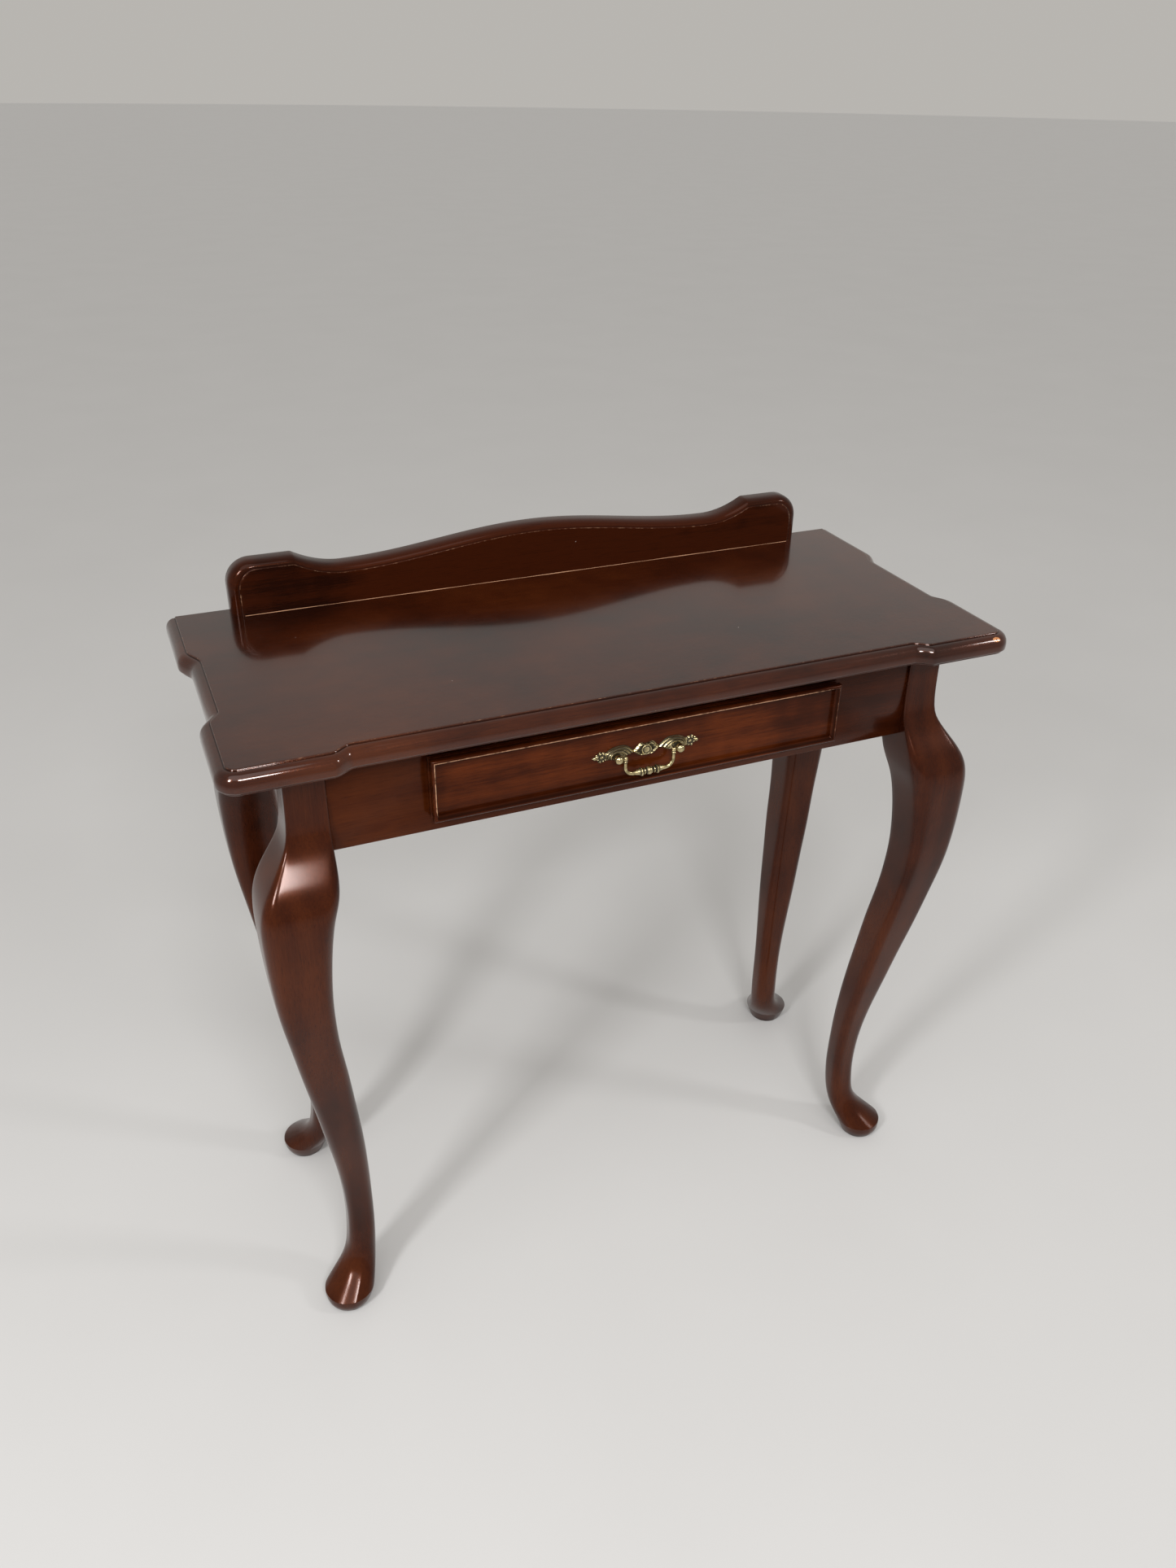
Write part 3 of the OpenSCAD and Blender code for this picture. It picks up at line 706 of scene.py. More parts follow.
class SIDETABLE_OT_legs(bpy.types.Operator):
    """Make the four cabriole legs with their pad feet"""

    bl_idname = "side_table.make_legs"
    bl_label = "Legs"

    def execute(self, context):
        for end, side in (("left", -1), ("right", 1)):
            for row, face in (("front", -1), ("rear", 1)):
                self.make_leg(f"{row}_{end}_leg", side, face)
        return {"FINISHED"}

    def make_leg(self, node, side, face):
        bm = bmesh.new()
        rings = leg_rings(node, side, face)
        if any(len(ring) != len(rings[0]) for ring in rings):
            raise RuntimeError(f"{node}: its sections don't all have {len(rings[0])} points")
        rim = next(k for k, ring in enumerate(rings) if abs(ring[0][2] - RIM_Z) < MM)
        below = between(rings[rim - 1], rings[rim], RIM_BELOW)
        above = between(rings[rim], rings[rim + 1], RIM_ABOVE)
        rings[rim : rim + 1] = [below, rings[rim], above]
        rim += 1
        # Painted shade on the foot's base near the floor
        wear = [-0.55 if ring[0][2] < FLOOR_SHADE else 0.0 for ring in rings]
        # Painted highlight: a thin pale line along the rim, in the worn colour
        wear[rim] = RIM_PAINTED_HIGHLIGHT
        rows = add_skin(bm, rings, wear)
        crease = bm.edges.layers.float.new("crease_edge")
        for k, amount in {0: 1.0, len(rows) - 1: 1.0, rim: RIM_CREASE}.items():
            for a, b in zip(rows[k], rows[k][1:] + rows[k][:1]):
                bm.edges.get((a, b))[crease] = amount
        mesh = mesh_of(bm, node, math.radians(60))
        piece = place_piece(f"{node}_carved", mesh, "leg", "carcass", (node,))
        smooth = piece.modifiers.new("smooth", "SUBSURF")
        smooth.levels = smooth.render_levels = 2


# ---- frame


class SIDETABLE_OT_aprons(bpy.types.Operator):
    """Make the four aprons"""

    bl_idname = "side_table.make_aprons"
    bl_label = "Aprons"

    def execute(self, context):
        board("front_apron", "apron", "carcass")
        # The rear apron takes the gallery's darker mahogany, which is painted shade
        board("rear_apron", "gallery", "carcass")
        board("left_apron", "end_apron", "carcass")
        board("right_apron", "end_apron", "carcass")
        return {"FINISHED"}


class SIDETABLE_OT_inner_frame(bpy.types.Operator):
    """Make the corner blocks and the pieces that the drawer runs on"""

    bl_idname = "side_table.make_inner_frame"
    bl_label = "Inner frame"

    def execute(self, context):
        for side in ("left", "right"):
            for row in ("front", "rear"):
                board(f"{row}_{side}_block", "pine_z", "carcass")
            for kind in ("runner", "guide", "kicker"):
                board(f"{side}_{kind}", "pine_y", "carcass")
        return {"FINISHED"}


# ---- what repeats, by Geometry Nodes


class Growth:
    """A Geometry Nodes tree with named inputs that puts one shape on every point of a mesh."""

    def __init__(self, name, *sizes):
        self.tree = bpy.data.node_groups.new(name, "GeometryNodeTree")
        kinds = [("Geometry", "Geometry")] + [(size, "Float") for size in sizes] + [("Material", "Material")]
        for label, kind in kinds:
            self.tree.interface.new_socket(label, in_out="INPUT", socket_type="NodeSocket" + kind)
        self.tree.interface.new_socket("Geometry", in_out="OUTPUT", socket_type="NodeSocketGeometry")
        self.given = self.tree.nodes.new("NodeGroupInput").outputs

    def node(self, kind, inputs, **setup):
        """Adds a node: setup first, then the values or links of its sockets."""
        made = self.tree.nodes.new(kind)
        for key, value in setup.items():
            setattr(made, key, value)
        for key, value in inputs.items():
            for item in value if isinstance(value, list) else [value]:
                if isinstance(item, bpy.types.NodeSocket):
                    self.tree.links.new(item, made.inputs[key])
                else:
                    made.inputs[key].default_value = item
        return made.outputs[0] if made.outputs else None

    def share(self, label, factor):
        """A named input times a factor."""
        return self.node("ShaderNodeMath", {0: self.given[label], 1: factor}, operation="MULTIPLY")

    def lifted(self, geometry, z):
        offset = self.node("ShaderNodeCombineXYZ", {"Z": z})
        return self.node("GeometryNodeTransform", {"Geometry": geometry, "Translation": offset})

    def spread(self, shape, **more):
        """Ends the tree: the shape on every point, as real mesh with its material."""
        points = self.node("GeometryNodeMeshToPoints", {"Mesh": self.given["Geometry"]})
        placed = self.node("GeometryNodeInstanceOnPoints", {"Points": points, "Instance": shape, **more})
        real = self.node("GeometryNodeRealizeInstances", {"Geometry": placed})
        ends = {"Geometry": real, "Material": self.given["Material"]}
        self.node("NodeGroupOutput", {0: self.node("GeometryNodeSetMaterial", ends)})

    def grown(self, name, spots, values, aims=()):
        """Runs the tree on points and gives back the plain mesh."""
        mesh = bpy.data.meshes.new(name)
        mesh.from_pydata(spots, [], [])
        if aims:
            layer = mesh.attributes.new("aim", "FLOAT_VECTOR", "POINT")
            for item, aim in zip(layer.data, aims):
                item.vector = aim
        carrier = linked(name, mesh)
        modifier = carrier.modifiers.new("nodes", "NODES")
        modifier.node_group = self.tree
        for item in self.tree.interface.items_tree:
            if item.in_out == "INPUT" and item.name in values:
                modifier[item.identifier] = values[item.name]
        evaluated = carrier.evaluated_get(bpy.context.evaluated_depsgraph_get())
        plain = bpy.data.meshes.new_from_object(evaluated)
        bpy.data.objects.remove(carrier)
        return plain


SCREW_SIZES = ("Head Diameter", "Head Height", "Shank Diameter", "Shank Length")
SLOT_LENGTH, SLOT_WIDTH, SLOT_DEPTH = 1.2, 0.15, 0.8


def screw_growth():
    """A slotted screw on every point, along the point's aim."""
    grow = Growth("slotted_screws", *SCREW_SIZES)
    sizes = {"Vertices": 32, "Radius": grow.share("Head Diameter", 0.5), "Depth": grow.given["Head Height"]}
    head = grow.node("GeometryNodeMeshCylinder", sizes)
    sizes = {
        "X": grow.share("Head Diameter", SLOT_LENGTH),
        "Y": grow.share("Head Diameter", SLOT_WIDTH),
        "Z": grow.share("Head Height", SLOT_DEPTH),
    }
    slot = grow.node("GeometryNodeMeshCube", {"Size": grow.node("ShaderNodeCombineXYZ", sizes)})
    slot = grow.lifted(slot, grow.share("Head Height", -0.5))
    both = {"Mesh 1": head, "Mesh 2": slot}
    head = grow.node("GeometryNodeMeshBoolean", both, operation="DIFFERENCE", solver="EXACT")
    head = grow.lifted(head, grow.share("Head Height", 0.5))
    sizes = {"Vertices": 20, "Radius": grow.share("Shank Diameter", 0.5), "Depth": grow.given["Shank Length"]}
    shank = grow.node("GeometryNodeMeshCylinder", sizes)
    middle = {0: grow.share("Shank Length", 0.5), 1: grow.given["Head Height"]}
    shank = grow.lifted(shank, grow.node("ShaderNodeMath", middle, operation="ADD"))
    aim = grow.node("GeometryNodeInputNamedAttribute", {"Name": "aim"}, data_type="FLOAT_VECTOR")
    turn = grow.node("FunctionNodeAlignRotationToVector", {"Vector": aim}, axis="Z")
    grow.spread(grow.node("GeometryNodeJoinGeometry", {0: [head, shank]}), Rotation=turn)
    return grow


def bead_growth():
    """A ball on every point."""
    grow = Growth("beads", "Radius")
    sizes = {"Segments": 16, "Rings": 10, "Radius": grow.given["Radius"]}
    grow.spread(grow.node("GeometryNodeMeshUVSphere", sizes))
    return grow


# ---- screws


def loose_parts(node):
    """The vertex positions of each separate solid in a CAD node."""
    bm = merged_copy(node)
    seen, parts = set(), []
    for start in bm.verts:
        if start in seen:
            continue
        seen.add(start)
        stack, part = [start], []
        while stack:
            vert = stack.pop()
            part.append(vert.co.copy())
            for edge in vert.link_edges:
                far = edge.other_vert(vert)
                if far not in seen:
                    seen.add(far)
                    stack.append(far)
        parts.append(part)
    bm.free()
    return parts


def screw_measure(part):
    """The screw's head end, its aim, and its head and shank sizes."""
    lo = Vector([min(p[k] for p in part) for k in range(3)])
    hi = Vector([max(p[k] for p in part) for k in range(3)])
    span, middle = hi - lo, (lo + hi) / 2
    axis = max(range(3), key=lambda k: span[k])
    across = (axis + 1) % 3

    def spread(points):
        return 2 * max(abs(p[across] - middle[across]) for p in points)

    low_end = spread([p for p in part if p[axis] - lo[axis] < 0.1 * MM])
    high_end = spread([p for p in part if hi[axis] - p[axis] < 0.1 * MM])
    head, shank = max(low_end, high_end), min(low_end, high_end)
    wide = [p[axis] for p in part if abs(spread([p]) - head) < 0.2 * MM or spread([p]) > shank + 0.2 * MM]
    start, aim = middle.copy(), Vector((0, 0, 0))
    start[axis] = lo[axis] if low_end > high_end else hi[axis]
    aim[axis] = 1 if low_end > high_end else -1
    thick = max(wide) - min(wide)
    return start, aim, head, thick, shank, span[axis] - thick


class SIDETABLE_OT_screws(bpy.types.Operator):
    """Make the slotted wood screws of the frame and the drawer"""

    bl_idname = "side_table.make_screws"
    bl_label = "Screws"

    def execute(self, context):
        grow = screw_growth()
        for node in ("gallery_screws", "block_screws", "top_screws"):
            self.make_group(grow, node, "carcass")
        self.make_group(grow, "drawer_bottom_screws", "drawer")
        return {"FINISHED"}

    def make_group(self, grow, node, body):
        found = [screw_measure(part) for part in loose_parts(node)]
        values = dict(zip(SCREW_SIZES, found[0][2:]), Material=finish_named("steel"))
        starts, aims = [tuple(f[0]) for f in found], [f[1] for f in found]
        mesh = grow.grown(node + "_places", starts, values, aims)
        mesh.set_sharp_from_angle(angle=SHARP_EDGE)
        place_piece(node + "_slotted", mesh, "steel", body, (node,))


# ---- drawer

LIP_FRONT, LIP_REACH = 12.3 * MM, 8 * MM


def lip_profile():
    """The drawer lip's edge from its back to its face: inset, distance from the back, and wear, where values
    below 0 are painted shade in the step.
    """
    deep = SIDE_LO.y - FRONT_LO.y - LIP_FRONT
    rows = in_mm((2, 0, 0), (0.3, 0, 0), (0, 0.3, 0.2), (0, 4.2, 0))
    rows += quarter_round(3.1 * MM, 4.2 * MM, 2.6 * MM, 7, 0.0, 0.62)
    # Painted shade in the step inside the thumb round: the rows below 0
    rows += in_mm((3.25, 6.3, -1), (3.6, 6.3, -1))
    rows += [(3.7 * MM, deep - 0.3 * MM, 0.6), (4.3 * MM, deep, 0.6), (4.9 * MM, deep, 0)]
    return rows


def lip_outline(inset):
    """The lip's rectangle with its corners barely rounded."""
    hw, low, high = FRONT_HI.x - inset, FRONT_LO.z + inset, FRONT_HI.z - inset
    r = 0.6 * MM
    corners = ((hw - r, high - r), (r - hw, high - r), (r - hw, low + r), (hw - r, low + r))
    ring = []
    for turn, (cx, cz) in enumerate(corners):
        for a in steps(turn * QUARTER, (turn + 1) * QUARTER, 2):
            ring.append((cx + r * math.cos(a), cz + r * math.sin(a)))
        nx, nz = ((-1, 0), (0, -1), (1, 0), (0, 1))[turn]
        run = 2 * (hw - r) if nx else high - low - 2 * r
        x, z = ring[-1]
        ring += [(x + nx * run * k / 12, z + nz * run * k / 12) for k in range(1, 12)]
    return ring


def lip_wear_and_painted_shade(wear, place):
    """The lip is rubbed most along its top and left, less on its right, and not below; painted shade, below
    0, stays everywhere.
    """
    if wear <= 0:
        return wear
    if place[2] < FRONT_LO.z + LIP_REACH:
        return 0.0
    return wear * (0.72 if place[0] > FRONT_HI.x - LIP_REACH else 1.0)


class SIDETABLE_OT_drawer_front(bpy.types.Operator):
    """Make the drawer front with its moulded lip"""

    bl_idname = "side_table.make_drawer_front"
    bl_label = "Drawer front"

    def execute(self, context):
        bm = merged_copy("drawer_front")
        profile = lip_profile()
        back = FRONT_LO.y + profile[-1][1]
        whole = bm.verts[:] + bm.edges[:] + bm.faces[:]
        plane = {"plane_co": (0, back, 0), "plane_no": (0, -1, 0)}
        cut = bmesh.ops.bisect_plane(bm, geom=whole, clear_outer=True, **plane)
        rim = [e for e in cut["geom_cut"] if isinstance(e, bmesh.types.BMEdge)]
        bmesh.ops.holes_fill(bm, edges=rim)
        soften(bm, 0.3 * MM)
        rings = [[(x, back - y, z) for x, z in lip_outline(inset)] for inset, y, _ in profile]
        add_skin(bm, rings, [[lip_wear_and_painted_shade(wear, p) for p in ring] for ring, (_, _, wear) in zip(rings, profile)])
        mesh = mesh_of(bm, "drawer_front")
        place_piece("drawer_front_lipped", mesh, "front", "drawer", ("drawer_front",))
        return {"FINISHED"}


class SIDETABLE_OT_drawer_box(bpy.types.Operator):
    """Make the dovetailed sides, the back and the bottom of the drawer"""

    bl_idname = "side_table.make_drawer_box"
    bl_label = "Drawer box"

    def execute(self, context):
        board("drawer_left_side", "pine_y", "drawer", 0.35 * MM)
        board("drawer_right_side", "pine_y", "drawer", 0.35 * MM)
        board("drawer_back", "pine_x", "drawer", 0.35 * MM)
        board("drawer_bottom", "ply", "drawer", 0.3 * MM)
        return {"FINISHED"}


# ---- handle


def add_turned(bm, profile, centre, axis, sides=40, wear=None):
    """Adds a turned solid: profile is distance along the axis and radius."""
    along = Vector(axis).normalized()
    first = along.orthogonal().normalized()
    second = along.cross(first)
    rings = []
    for run, radius in profile:
        middle = Vector(centre) + along * run
        angles = [TURN * k / sides for k in range(sides)]
        rings.append([middle + (first * math.cos(a) + second * math.sin(a)) * radius for a in angles])
    return add_skin(bm, rings, wear)


def add_relief(bm, outline, focus, height, hollow, rows=22, side=1, sides=96):
    """Adds a raised ornament on the drawer face: outline(a) is its edge, height(s, a) its relief
    and hollow(s, a) its darkness, with s from 0 at the focus to 1 at the edge."""
    angles = [TURN * k / sides for k in range(sides)]
    shares = [1.0] + [1 - (k / rows) ** 1.1 for k in range(1, rows)]

    def point(s, a, lift):
        x, z = (near + s * (far - near) for near, far in zip(focus, outline(a)))
        return Vector((side * x, FRONT_LO.y - lift, z))

    rings = [[point(1, a, -0.3 * MM) for a in angles]]
    rings += [[point(s, a, height(s, a)) for a in angles] for s in shares]
    dark = [1.0] + [[hollow(s, a) for a in angles] for s in shares]
    made = add_skin(bm, rings, dark, caps=False)
    bm.faces.new(made[0])
    tip = bm.verts.new(point(0, 0, sum(height(0, a) for a in angles) / sides))
    tip[wear_and_painted_light_layer(bm)] = hollow(0, 0)
    for first, second in zip(made[-1], made[-1][1:] + made[-1][:1]):
        bm.faces.new((first, second, tip))
    skin = {face for row in made for vert in row for face in vert.link_faces}
    bmesh.ops.recalc_face_normals(bm, faces=list(skin))


# Share of a shell, from its focus, that its smooth eye takes up
SHELL_EYE = 0.42


def shell_outline(a):
    """Edge of a shell: round at its outer end and pointed at its inner end."""
    u = math.cos(a)
    half = abs(math.sin(a)) ** 0.9 if u > 0 else math.cos(QUARTER * abs(u) ** 1.25)
    sway = 1.3 * MM * (1 - u * u)
    return (28 * MM + 16 * MM * u, HANDLE_MID + sway + math.copysign(8.0 * MM * half, math.sin(a)))


def shell_ribs(s, a):
    """How ribbed a shell is at a place, and where the place lies from a rib, 0, to a groove, 1."""
    upper = ease((math.sin(a + 0.25) + 0.8) / 0.9)
    return upper, abs(math.cos(math.pi * settings().handle.ribs * (s - SHELL_EYE) / (1 - SHELL_EYE)))


def shell_height(s, a):
    upper, groove = shell_ribs(s, a)
    dome = 1.4 + 3.6 * math.sin(min(1, (1 - s) / 0.5) * QUARTER)
    ribs = 1.2 * (1 - groove ** 1.6) * upper * ease((s - 0.40) / 0.10)
    eye = 2.6 * ease((SHELL_EYE - s) / 0.30) * ease((s + 0.05) / 0.2)
    lower = 1.6 * (1 - upper) * ease((s - 0.15) / 0.4)
    return (dome + ribs - eye - lower) * MM


def shell_hollow(s, a):
    upper, groove = shell_ribs(s, a)
    lines = groove ** 4 * upper * ease((s - 0.40) / 0.12)
    return min(1, lines + ease((SHELL_EYE - s) / 0.2) * 0.75 + ease((s - 0.95) / 0.05) * 0.6)


# Angle, width and size of the rosette's scrolled lobes
LOBES = ((1.06, 0.36, 1.0), (2.08, 0.36, 1.0), (-1.0, 0.32, 0.5), (-2.14, 0.32, 0.5))


def rosette_outline(a):
    """Edge of the middle ornament: a pointed lens with four scrolled lobes."""
    u, v = math.cos(a), math.sin(a)
    swell = sum(size * hill(math.remainder(a - at, TURN), 0, wide) for at, wide, size in LOBES)
    lens = (1 - abs(u) ** 1.7) ** 0.75 if abs(u) < 1 else 0
    high = (6.0 * lens * (1 if v > 0 else 0.95) + 3.3 * swell * abs(v)) * MM
    return (14.4 * MM * u, HANDLE_MID + math.copysign(high, v))


def leaf_veins(a):
    """Fine leaf ribs that spread from the middle, 0 in a groove and 1 on a rib."""
    return abs(math.cos(9 * a)) ** 0.6


def rosette_height(s, a):
    veins = 0.75 * leaf_veins(a) * math.sin(math.pi * s)
    return (1.3 + 1.1 * (1 - s) + veins + 1.7 * hill(s, 0.80, 0.13) - 0.9 * hill(s, 0.55, 0.12)) * MM


def rosette_hollow(s, a):
    return min(1, (1 - leaf_veins(a)) * 1.3 * math.sin(math.pi * s) + hill(s, 0.52, 0.14) * 0.9)


def finial_outline(a):
    """Edge of a finial: a curled leaf that ends in a point outwards."""
    u, v = math.cos(a), math.sin(a)
    frill = 1 + 0.10 * math.cos(5 * a) + 0.05 * math.cos(10 * a)
    width = (1 - 0.42 * ease(u)) * frill
    return (47.3 * MM + 7.2 * MM * u, HANDLE_MID + 6.1 * MM * v * width)


def finial_height(s, a):
    frill = 0.65 * math.cos(10 * a) * s * (1 - s * 0.4)
    return (1.2 + 1.2 * (1 - s * s) + frill + 1.3 * hill(s, 0.72, 0.2)) * MM


def finial_hollow(s, a):
    return min(1, (0.5 - 0.5 * math.cos(10 * a)) * 1.1 * s + hill(s, 0.4, 0.16) * 0.8)


class SIDETABLE_OT_handle_plate(bpy.types.Operator):
    """Make the brass backplate with its shells, rosette, finials and beads"""

    bl_idname = "side_table.make_handle_plate"
    bl_label = "Handle plate"

    def execute(self, context):
        bm = bmesh.new()
        for side in (-1, 1):
            add_relief(bm, shell_outline, (POST_X, PIVOT.z), shell_height, shell_hollow, 30, side)
            add_relief(bm, finial_outline, (47 * MM, HANDLE_MID), finial_height, finial_hollow, 18, side, 120)
            self.add_tip(bm, side)
        add_relief(bm, rosette_outline, (0, HANDLE_MID), rosette_height, rosette_hollow, 26, sides=180)
        self.add_boss(bm)
        mesh = mesh_of(bm, "handle_plate", math.radians(50))
        place_piece("handle_plate_cast", mesh, "brass", "drawer", ("handle_backplate",))
        self.add_beads()
        return {"FINISHED"}

    def add_tip(self, bm, side):
        """The pointed ball at the end of the plate."""
        profile = in_mm((0, 0.6), (0.6, 1.5), (1.3, 1.95), (2.2, 2.1))
        profile += in_mm((3.0, 1.9), (3.6, 1.3), (4.2, 0.7), (4.7, 0.25))
        add_turned(bm, profile, (side * 52.2 * MM, FRONT_LO.y - 1.3 * MM, HANDLE_MID), (side, 0, 0), 20)

    def add_boss(self, bm):
        """The flat round boss in the middle, with its rim."""
        profile = in_mm((0, 5.5), (2.6, 5.5), (3.3, 5.3), (3.7, 4.9), (3.75, 4.5), (3.5, 4.2))
        profile += in_mm((3.2, 4.0), (3.15, 2.6), (3.2, 0.2))
        wear = [1, 0.8, 0.15, 0, 0, 0.4, 0.95, 0.2, 0.2]
        add_turned(bm, profile, (0, FRONT_LO.y, HANDLE_MID), (0, -1, 0), 48, wear)

    def add_beads(self):
        """Small beads along the upper edge of each finial."""
        count = settings().handle.beads
        spots = []
        for side in (-1, 1):
            for k in range(count):
                a = math.radians(40 + 100 * k / max(1, count - 1))
                x, z = (47.5 + 6.3 * math.cos(a)) * MM, 5.0 * MM * math.sin(a)
                spots.append((side * x, FRONT_LO.y - 2.0 * MM, HANDLE_MID + z))
        values = {"Radius": 1.15 * MM, "Material": finish_named("brass")}
        mesh = bead_growth().grown("bead_places", spots, values)
        mesh.shade_smooth()
        place_piece("handle_plate_beads", mesh, "brass", "drawer")


class SIDETABLE_OT_handle_posts(bpy.types.Operator):
    """Make the two turned posts with their balls, and their nuts"""

    bl_idname = "side_table.make_handle_posts"
    bl_label = "Handle posts"

    def execute(self, context):
        ball, out = settings().handle.ball, FRONT_LO.y - PIVOT.y
        rear = POST_HI.y - FRONT_LO.y
        profile = [(-rear, 1.6 * MM), (0.4 * MM - rear, 2 * MM)]
        profile += in_mm((0, 2), (1.6, 2), (1.7, 4.3), (2.5, 4.4), (3.2, 3.9), (3.6, 3.1), (4.4, 2.7))
        wear = [0.6, 0.6, 0.6, 1, 0.6, 0.1, 0.3, 0.9, 0.7]
        for a in steps(-0.93, QUARTER, 16):
            profile.append((out + ball * math.sin(a), max(0.1 * MM, ball * math.cos(a))))
            wear.append(0.6 if a < -0.7 else 0.0)
        for name, side in (("left", -1), ("right", 1)):
            bm = bmesh.new()
            add_turned(bm, profile, (side * POST_X, FRONT_LO.y, PIVOT.z), (0, -1, 0), 40, wear)
            node = f"{name}_handle_post"
            place_piece(f"{node}_turned", mesh_of(bm, node), "brass", "drawer", (node,))
        board("handle_nuts", "steel", "drawer", 0.2 * MM, "hex")
        return {"FINISHED"}


# Distance from the bail's middle and its radius there, in millimetres
BAIL_SHAPE = (
    (0.0, 4.2), (1.0, 4.08), (2.0, 3.7), (2.8, 3.15), (3.4, 2.5), (3.7, 2.2), (4.2, 2.2), (4.4, 2.9),
    (4.7, 3.35), (5.2, 3.5), (5.7, 3.3), (6.0, 2.7), (6.4, 2.5), (7.1, 2.6), (7.4, 3.9), (7.8, 4.4),
    (8.8, 4.45), (9.3, 4.1), (9.7, 3.5), (11.0, 3.1), (13.0, 2.6), (15.5, 2.15), (19.0, 1.9), (30.0, 1.75),
    (35.0, 1.7), (35.6, 1.7), (35.9, 2.2), (36.5, 2.45), (37.1, 2.2), (37.4, 1.75), (38.0, 1.75),
    (38.3, 2.3), (39.4, 2.55),
)
# Half length of the turned grip, and how near a hollow's rims have to be to darken it
GRIP, NOTCH_REACH = 20 * MM, 0.9 * MM
AWAY = Vector((0, 1, 0))


def bail_radius(run):
    """Radius of the bail at a distance from its middle along its centre line."""
    run /= MM
    for (start, first), (end, last) in zip(BAIL_SHAPE, BAIL_SHAPE[1:]):
        if run <= end:
            return (first + (last - first) * (run - start) / (end - start)) * MM
    return BAIL_SHAPE[-1][1] * MM


def bail_place(run):
    """Point and direction of the bail's centre line at a distance from its middle."""
    size = settings().handle
    flat = ARM_X - size.bow
    bend = size.bow * QUARTER
    if run <= flat:
        return Vector((run, 0, -size.drop)), Vector((1, 0, 0))
    if run <= flat + bend:
        a = (run - flat) / size.bow
        at = Vector((flat + size.bow * math.sin(a), 0, -size.drop + size.bow * (1 - math.cos(a))))
        return at, Vector((math.cos(a), 0, math.sin(a)))
    return Vector((ARM_X, 0, -size.drop + size.bow + run - flat - bend)), Vector((0, 0, 1))


class SIDETABLE_OT_bail(bpy.types.Operator):
    """Make the swinging bail with its turned grip"""

    bl_idname = "side_table.make_bail"
    bl_label = "Bail"

    def execute(self, context):
        size = settings().handle
        whole = ARM_X + size.bow * (QUARTER - 2) + size.drop
        runs = steps(0, GRIP, 110) + steps(GRIP, whole, 60)[1:]
        angles = [TURN * k / 28 for k in range(28)]
        bm = bmesh.new()
        rings, wear = [], []
        for sign, half in ((-1, runs[::-1]), (1, runs[1:])):
            for run in half:
                at, ahead = bail_place(run)
                out, radius = AWAY.cross(ahead), bail_radius(run)
                ring = [PIVOT + at + (AWAY * math.cos(a) + out * math.sin(a)) * radius for a in angles]
                rings.append([(sign * p.x, p.y, p.z) for p in ring])
                swell = max(bail_radius(abs(run - NOTCH_REACH)), bail_radius(run + NOTCH_REACH)) - radius
                wear.append(min(1.0, max(0.0, swell / MM * 0.9)))
        add_skin(bm, rings, wear)
        for sign in (-1, 1):
            self.add_eye(bm, sign)
        mesh = mesh_of(bm, "handle_bail", math.radians(45))
        place_piece("handle_bail_cast", mesh, "brass", "bail", ("handle_bail",))
        return {"FINISHED"}

    def add_eye(self, bm, sign):
        """The rounded top of an arm and the pin that it swings on."""
        reach = BAIL_HI.x - ARM_X
        pin = in_mm((-2.4, 0.3), (-2.1, 1.3), (-1.2, 2.1), (0, 2.5), (1.2, 2.1), (1.8, 1.3))
        pin += [(reach - 0.3 * MM, 1.3 * MM), (reach, 1.0 * MM)]
        wear = [0.2, 0.1, 0, 0, 0.2, 0.9, 0.9, 0.9]
        add_turned(bm, pin, (sign * ARM_X, PIVOT.y, PIVOT.z), (sign, 0, 0), 24, wear)


# ---- stage

CAMERA_PLACE = (-0.4577, -1.0604, 1.2210)
CAMERA_TURN = (59.214, -0.806, -22.898)
LENS = 27.885
WORLD_TINT, WORLD_POWER = (1.0, 0.965, 0.91, 1), 0.48
SUN_POWER, SUN_SPREAD, SUN_TURN = 0.85, math.radians(50), (math.radians(24), math.radians(-16), 0)
# Name, place, width, height and power of each soft light, and the point they face
LIGHTS = (
    ("left_window", (-1.7, -1.15, 1.75), 0.3, 0.5, 24),
    ("right_window", (2.2, -1.5, 2.1), 0.3, 0.6, 14),
    ("lamp", (-0.35, -1.95, 2.0), 0.50, 0.26, 22),
)
LIT_POINT = Vector((0, 0, 0.5))
FLOOR_RADIUS = 40.0
FLOOR_TONES = (0.55, 0.545, 0.54, 1), (0.58, 0.575, 0.57, 1)


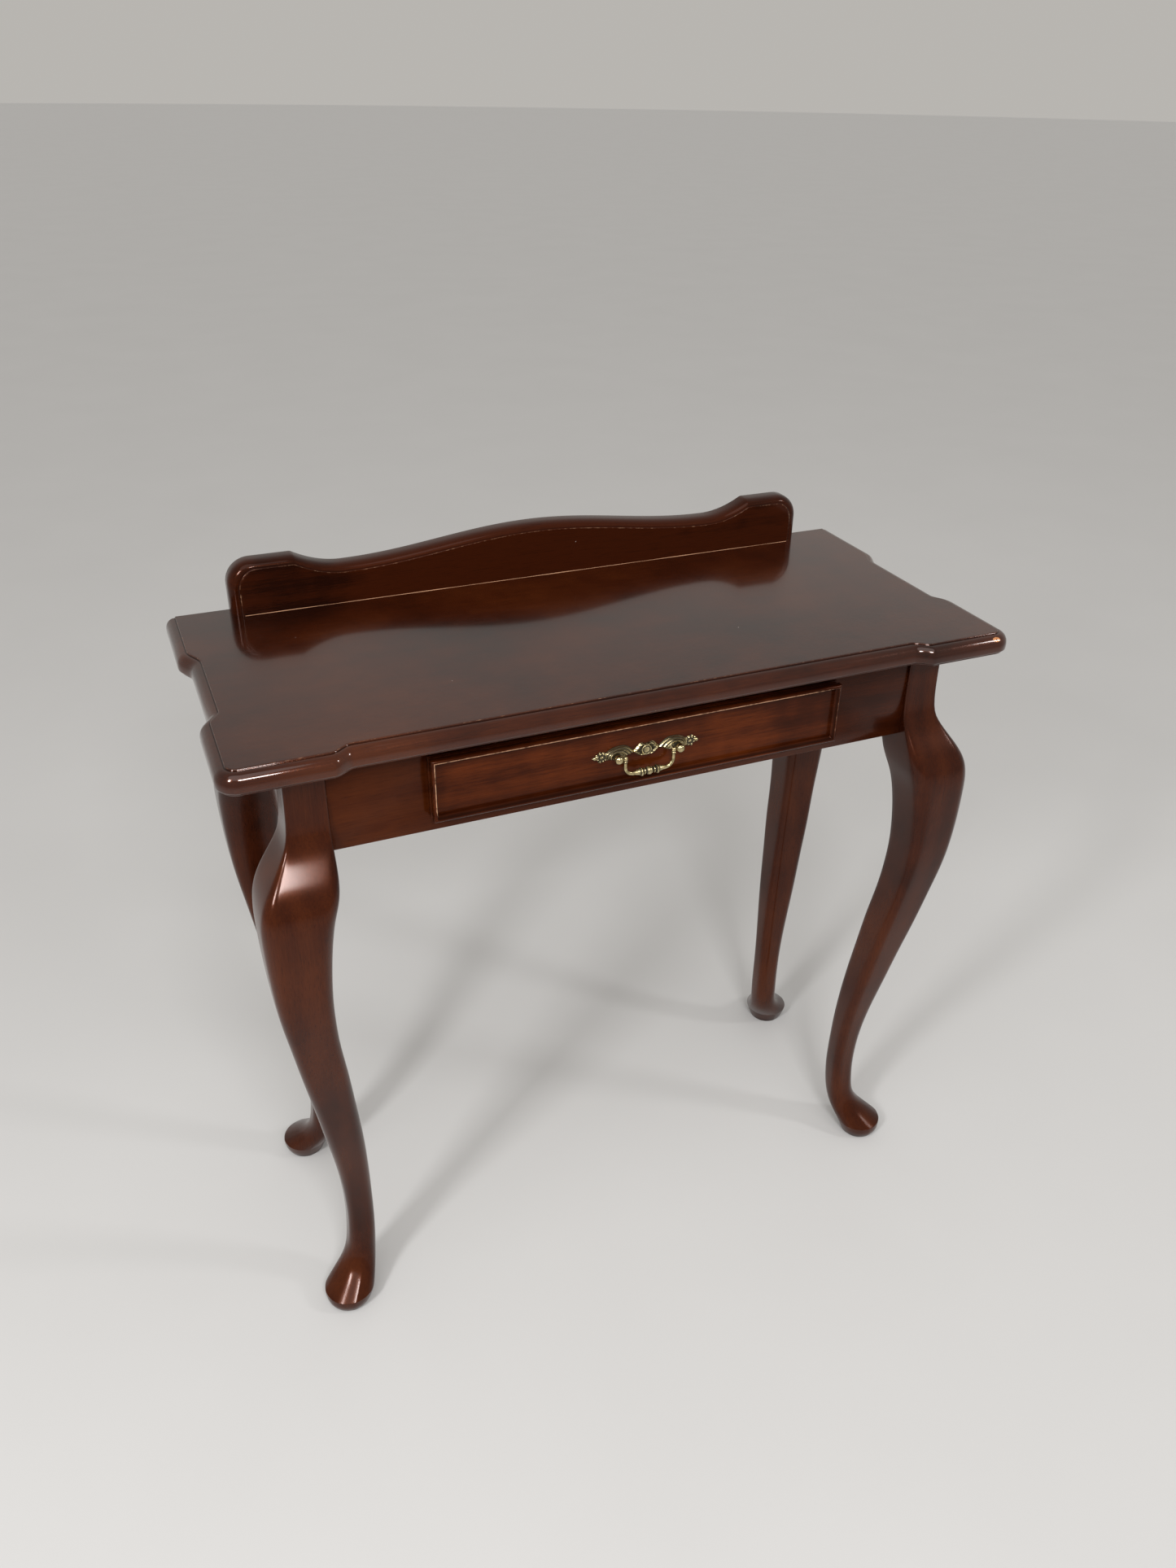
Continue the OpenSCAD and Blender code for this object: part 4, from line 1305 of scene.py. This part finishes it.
class SIDETABLE_OT_stage(bpy.types.Operator):
    """Make the floor, the soft lights and the camera"""

    bl_idname = "side_table.make_stage"
    bl_label = "Stage"

    def execute(self, context):
        scene = context.scene
        scene.view_settings.view_transform = "Standard"
        self.make_floor()
        self.make_lights(scene)
        data = bpy.data.cameras.new("camera")
        data.lens, data.sensor_width, data.sensor_fit = LENS, 36.0, "AUTO"
        scene.camera = linked("camera", data)
        scene.camera.location = CAMERA_PLACE
        scene.camera.rotation_euler = [math.radians(a) for a in CAMERA_TURN]
        return {"FINISHED"}

    def make_lights(self, scene):
        world = scene.world = bpy.data.worlds.new("studio")
        world.use_nodes = True
        sky = world.node_tree.nodes["Background"].inputs
        sky["Color"].default_value, sky["Strength"].default_value = WORLD_TINT, WORLD_POWER
        sun = bpy.data.lights.new("ceiling", "SUN")
        sun.energy, sun.angle = SUN_POWER, SUN_SPREAD
        linked("ceiling", sun).rotation_euler = SUN_TURN
        for name, place, width, height, power in LIGHTS:
            data = bpy.data.lights.new(name, "AREA")
            data.shape = "RECTANGLE"
            data.size, data.size_y, data.energy = width, height, power
            lamp = linked(name, data)
            lamp.location = place
            lamp.rotation_euler = (LIT_POINT - Vector(place)).to_track_quat("-Z", "Y").to_euler()

    def make_floor(self):
        bm = bmesh.new()
        bmesh.ops.create_circle(bm, cap_ends=True, radius=FLOOR_RADIUS, segments=96)
        mesh = bpy.data.meshes.new("floor")
        bm.to_mesh(mesh)
        bm.free()
        paint = Paint("floor_paint")
        tone = paint.mixed(paint.noise(paint.place, 3.0), *FLOOR_TONES)
        mesh.materials.append(paint.finish(Base_Color=tone, Roughness=0.7))
        linked("floor", mesh)


# ---- panel and registration

MAKERS = (
    SIDETABLE_OT_top,
    SIDETABLE_OT_gallery,
    SIDETABLE_OT_legs,
    SIDETABLE_OT_aprons,
    SIDETABLE_OT_inner_frame,
    SIDETABLE_OT_screws,
    SIDETABLE_OT_drawer_front,
    SIDETABLE_OT_drawer_box,
    SIDETABLE_OT_handle_plate,
    SIDETABLE_OT_handle_posts,
    SIDETABLE_OT_bail,
    SIDETABLE_OT_stage,
)


class SIDETABLE_PT_panel(bpy.types.Panel):
    """Settings and makers of the side table"""

    bl_label = "Side Table"
    bl_idname = "SIDETABLE_PT_panel"
    bl_space_type = "VIEW_3D"
    bl_region_type = "UI"
    bl_category = "Side Table"

    def draw(self, context):
        for group in (settings().moulding, settings().handle, settings().finish):
            box = self.layout.box()
            for key in group.__annotations__:
                box.prop(group, key)
        for maker in MAKERS:
            self.layout.operator(maker.bl_idname)


SETTINGS = (MouldingSettings, HandleSettings, FinishSettings, SideTableSettings)
CLASSES = SETTINGS + MAKERS + (SIDETABLE_PT_panel,)


def register():
    for cls in CLASSES:
        bpy.utils.register_class(cls)
    bpy.types.Scene.side_table = PointerProperty(type=SideTableSettings)


def unregister():
    del bpy.types.Scene.side_table
    for cls in reversed(CLASSES):
        bpy.utils.unregister_class(cls)


def main():
    """Makes every piece in order."""
    register()
    table = bpy.ops.side_table
    table.make_top()
    table.make_gallery()
    table.make_legs()
    table.make_aprons()
    table.make_inner_frame()
    table.make_screws()
    table.make_drawer_front()
    table.make_drawer_box()
    table.make_handle_plate()
    table.make_handle_posts()
    table.make_bail()
    table.make_stage()


if __name__ == "__main__":
    main()
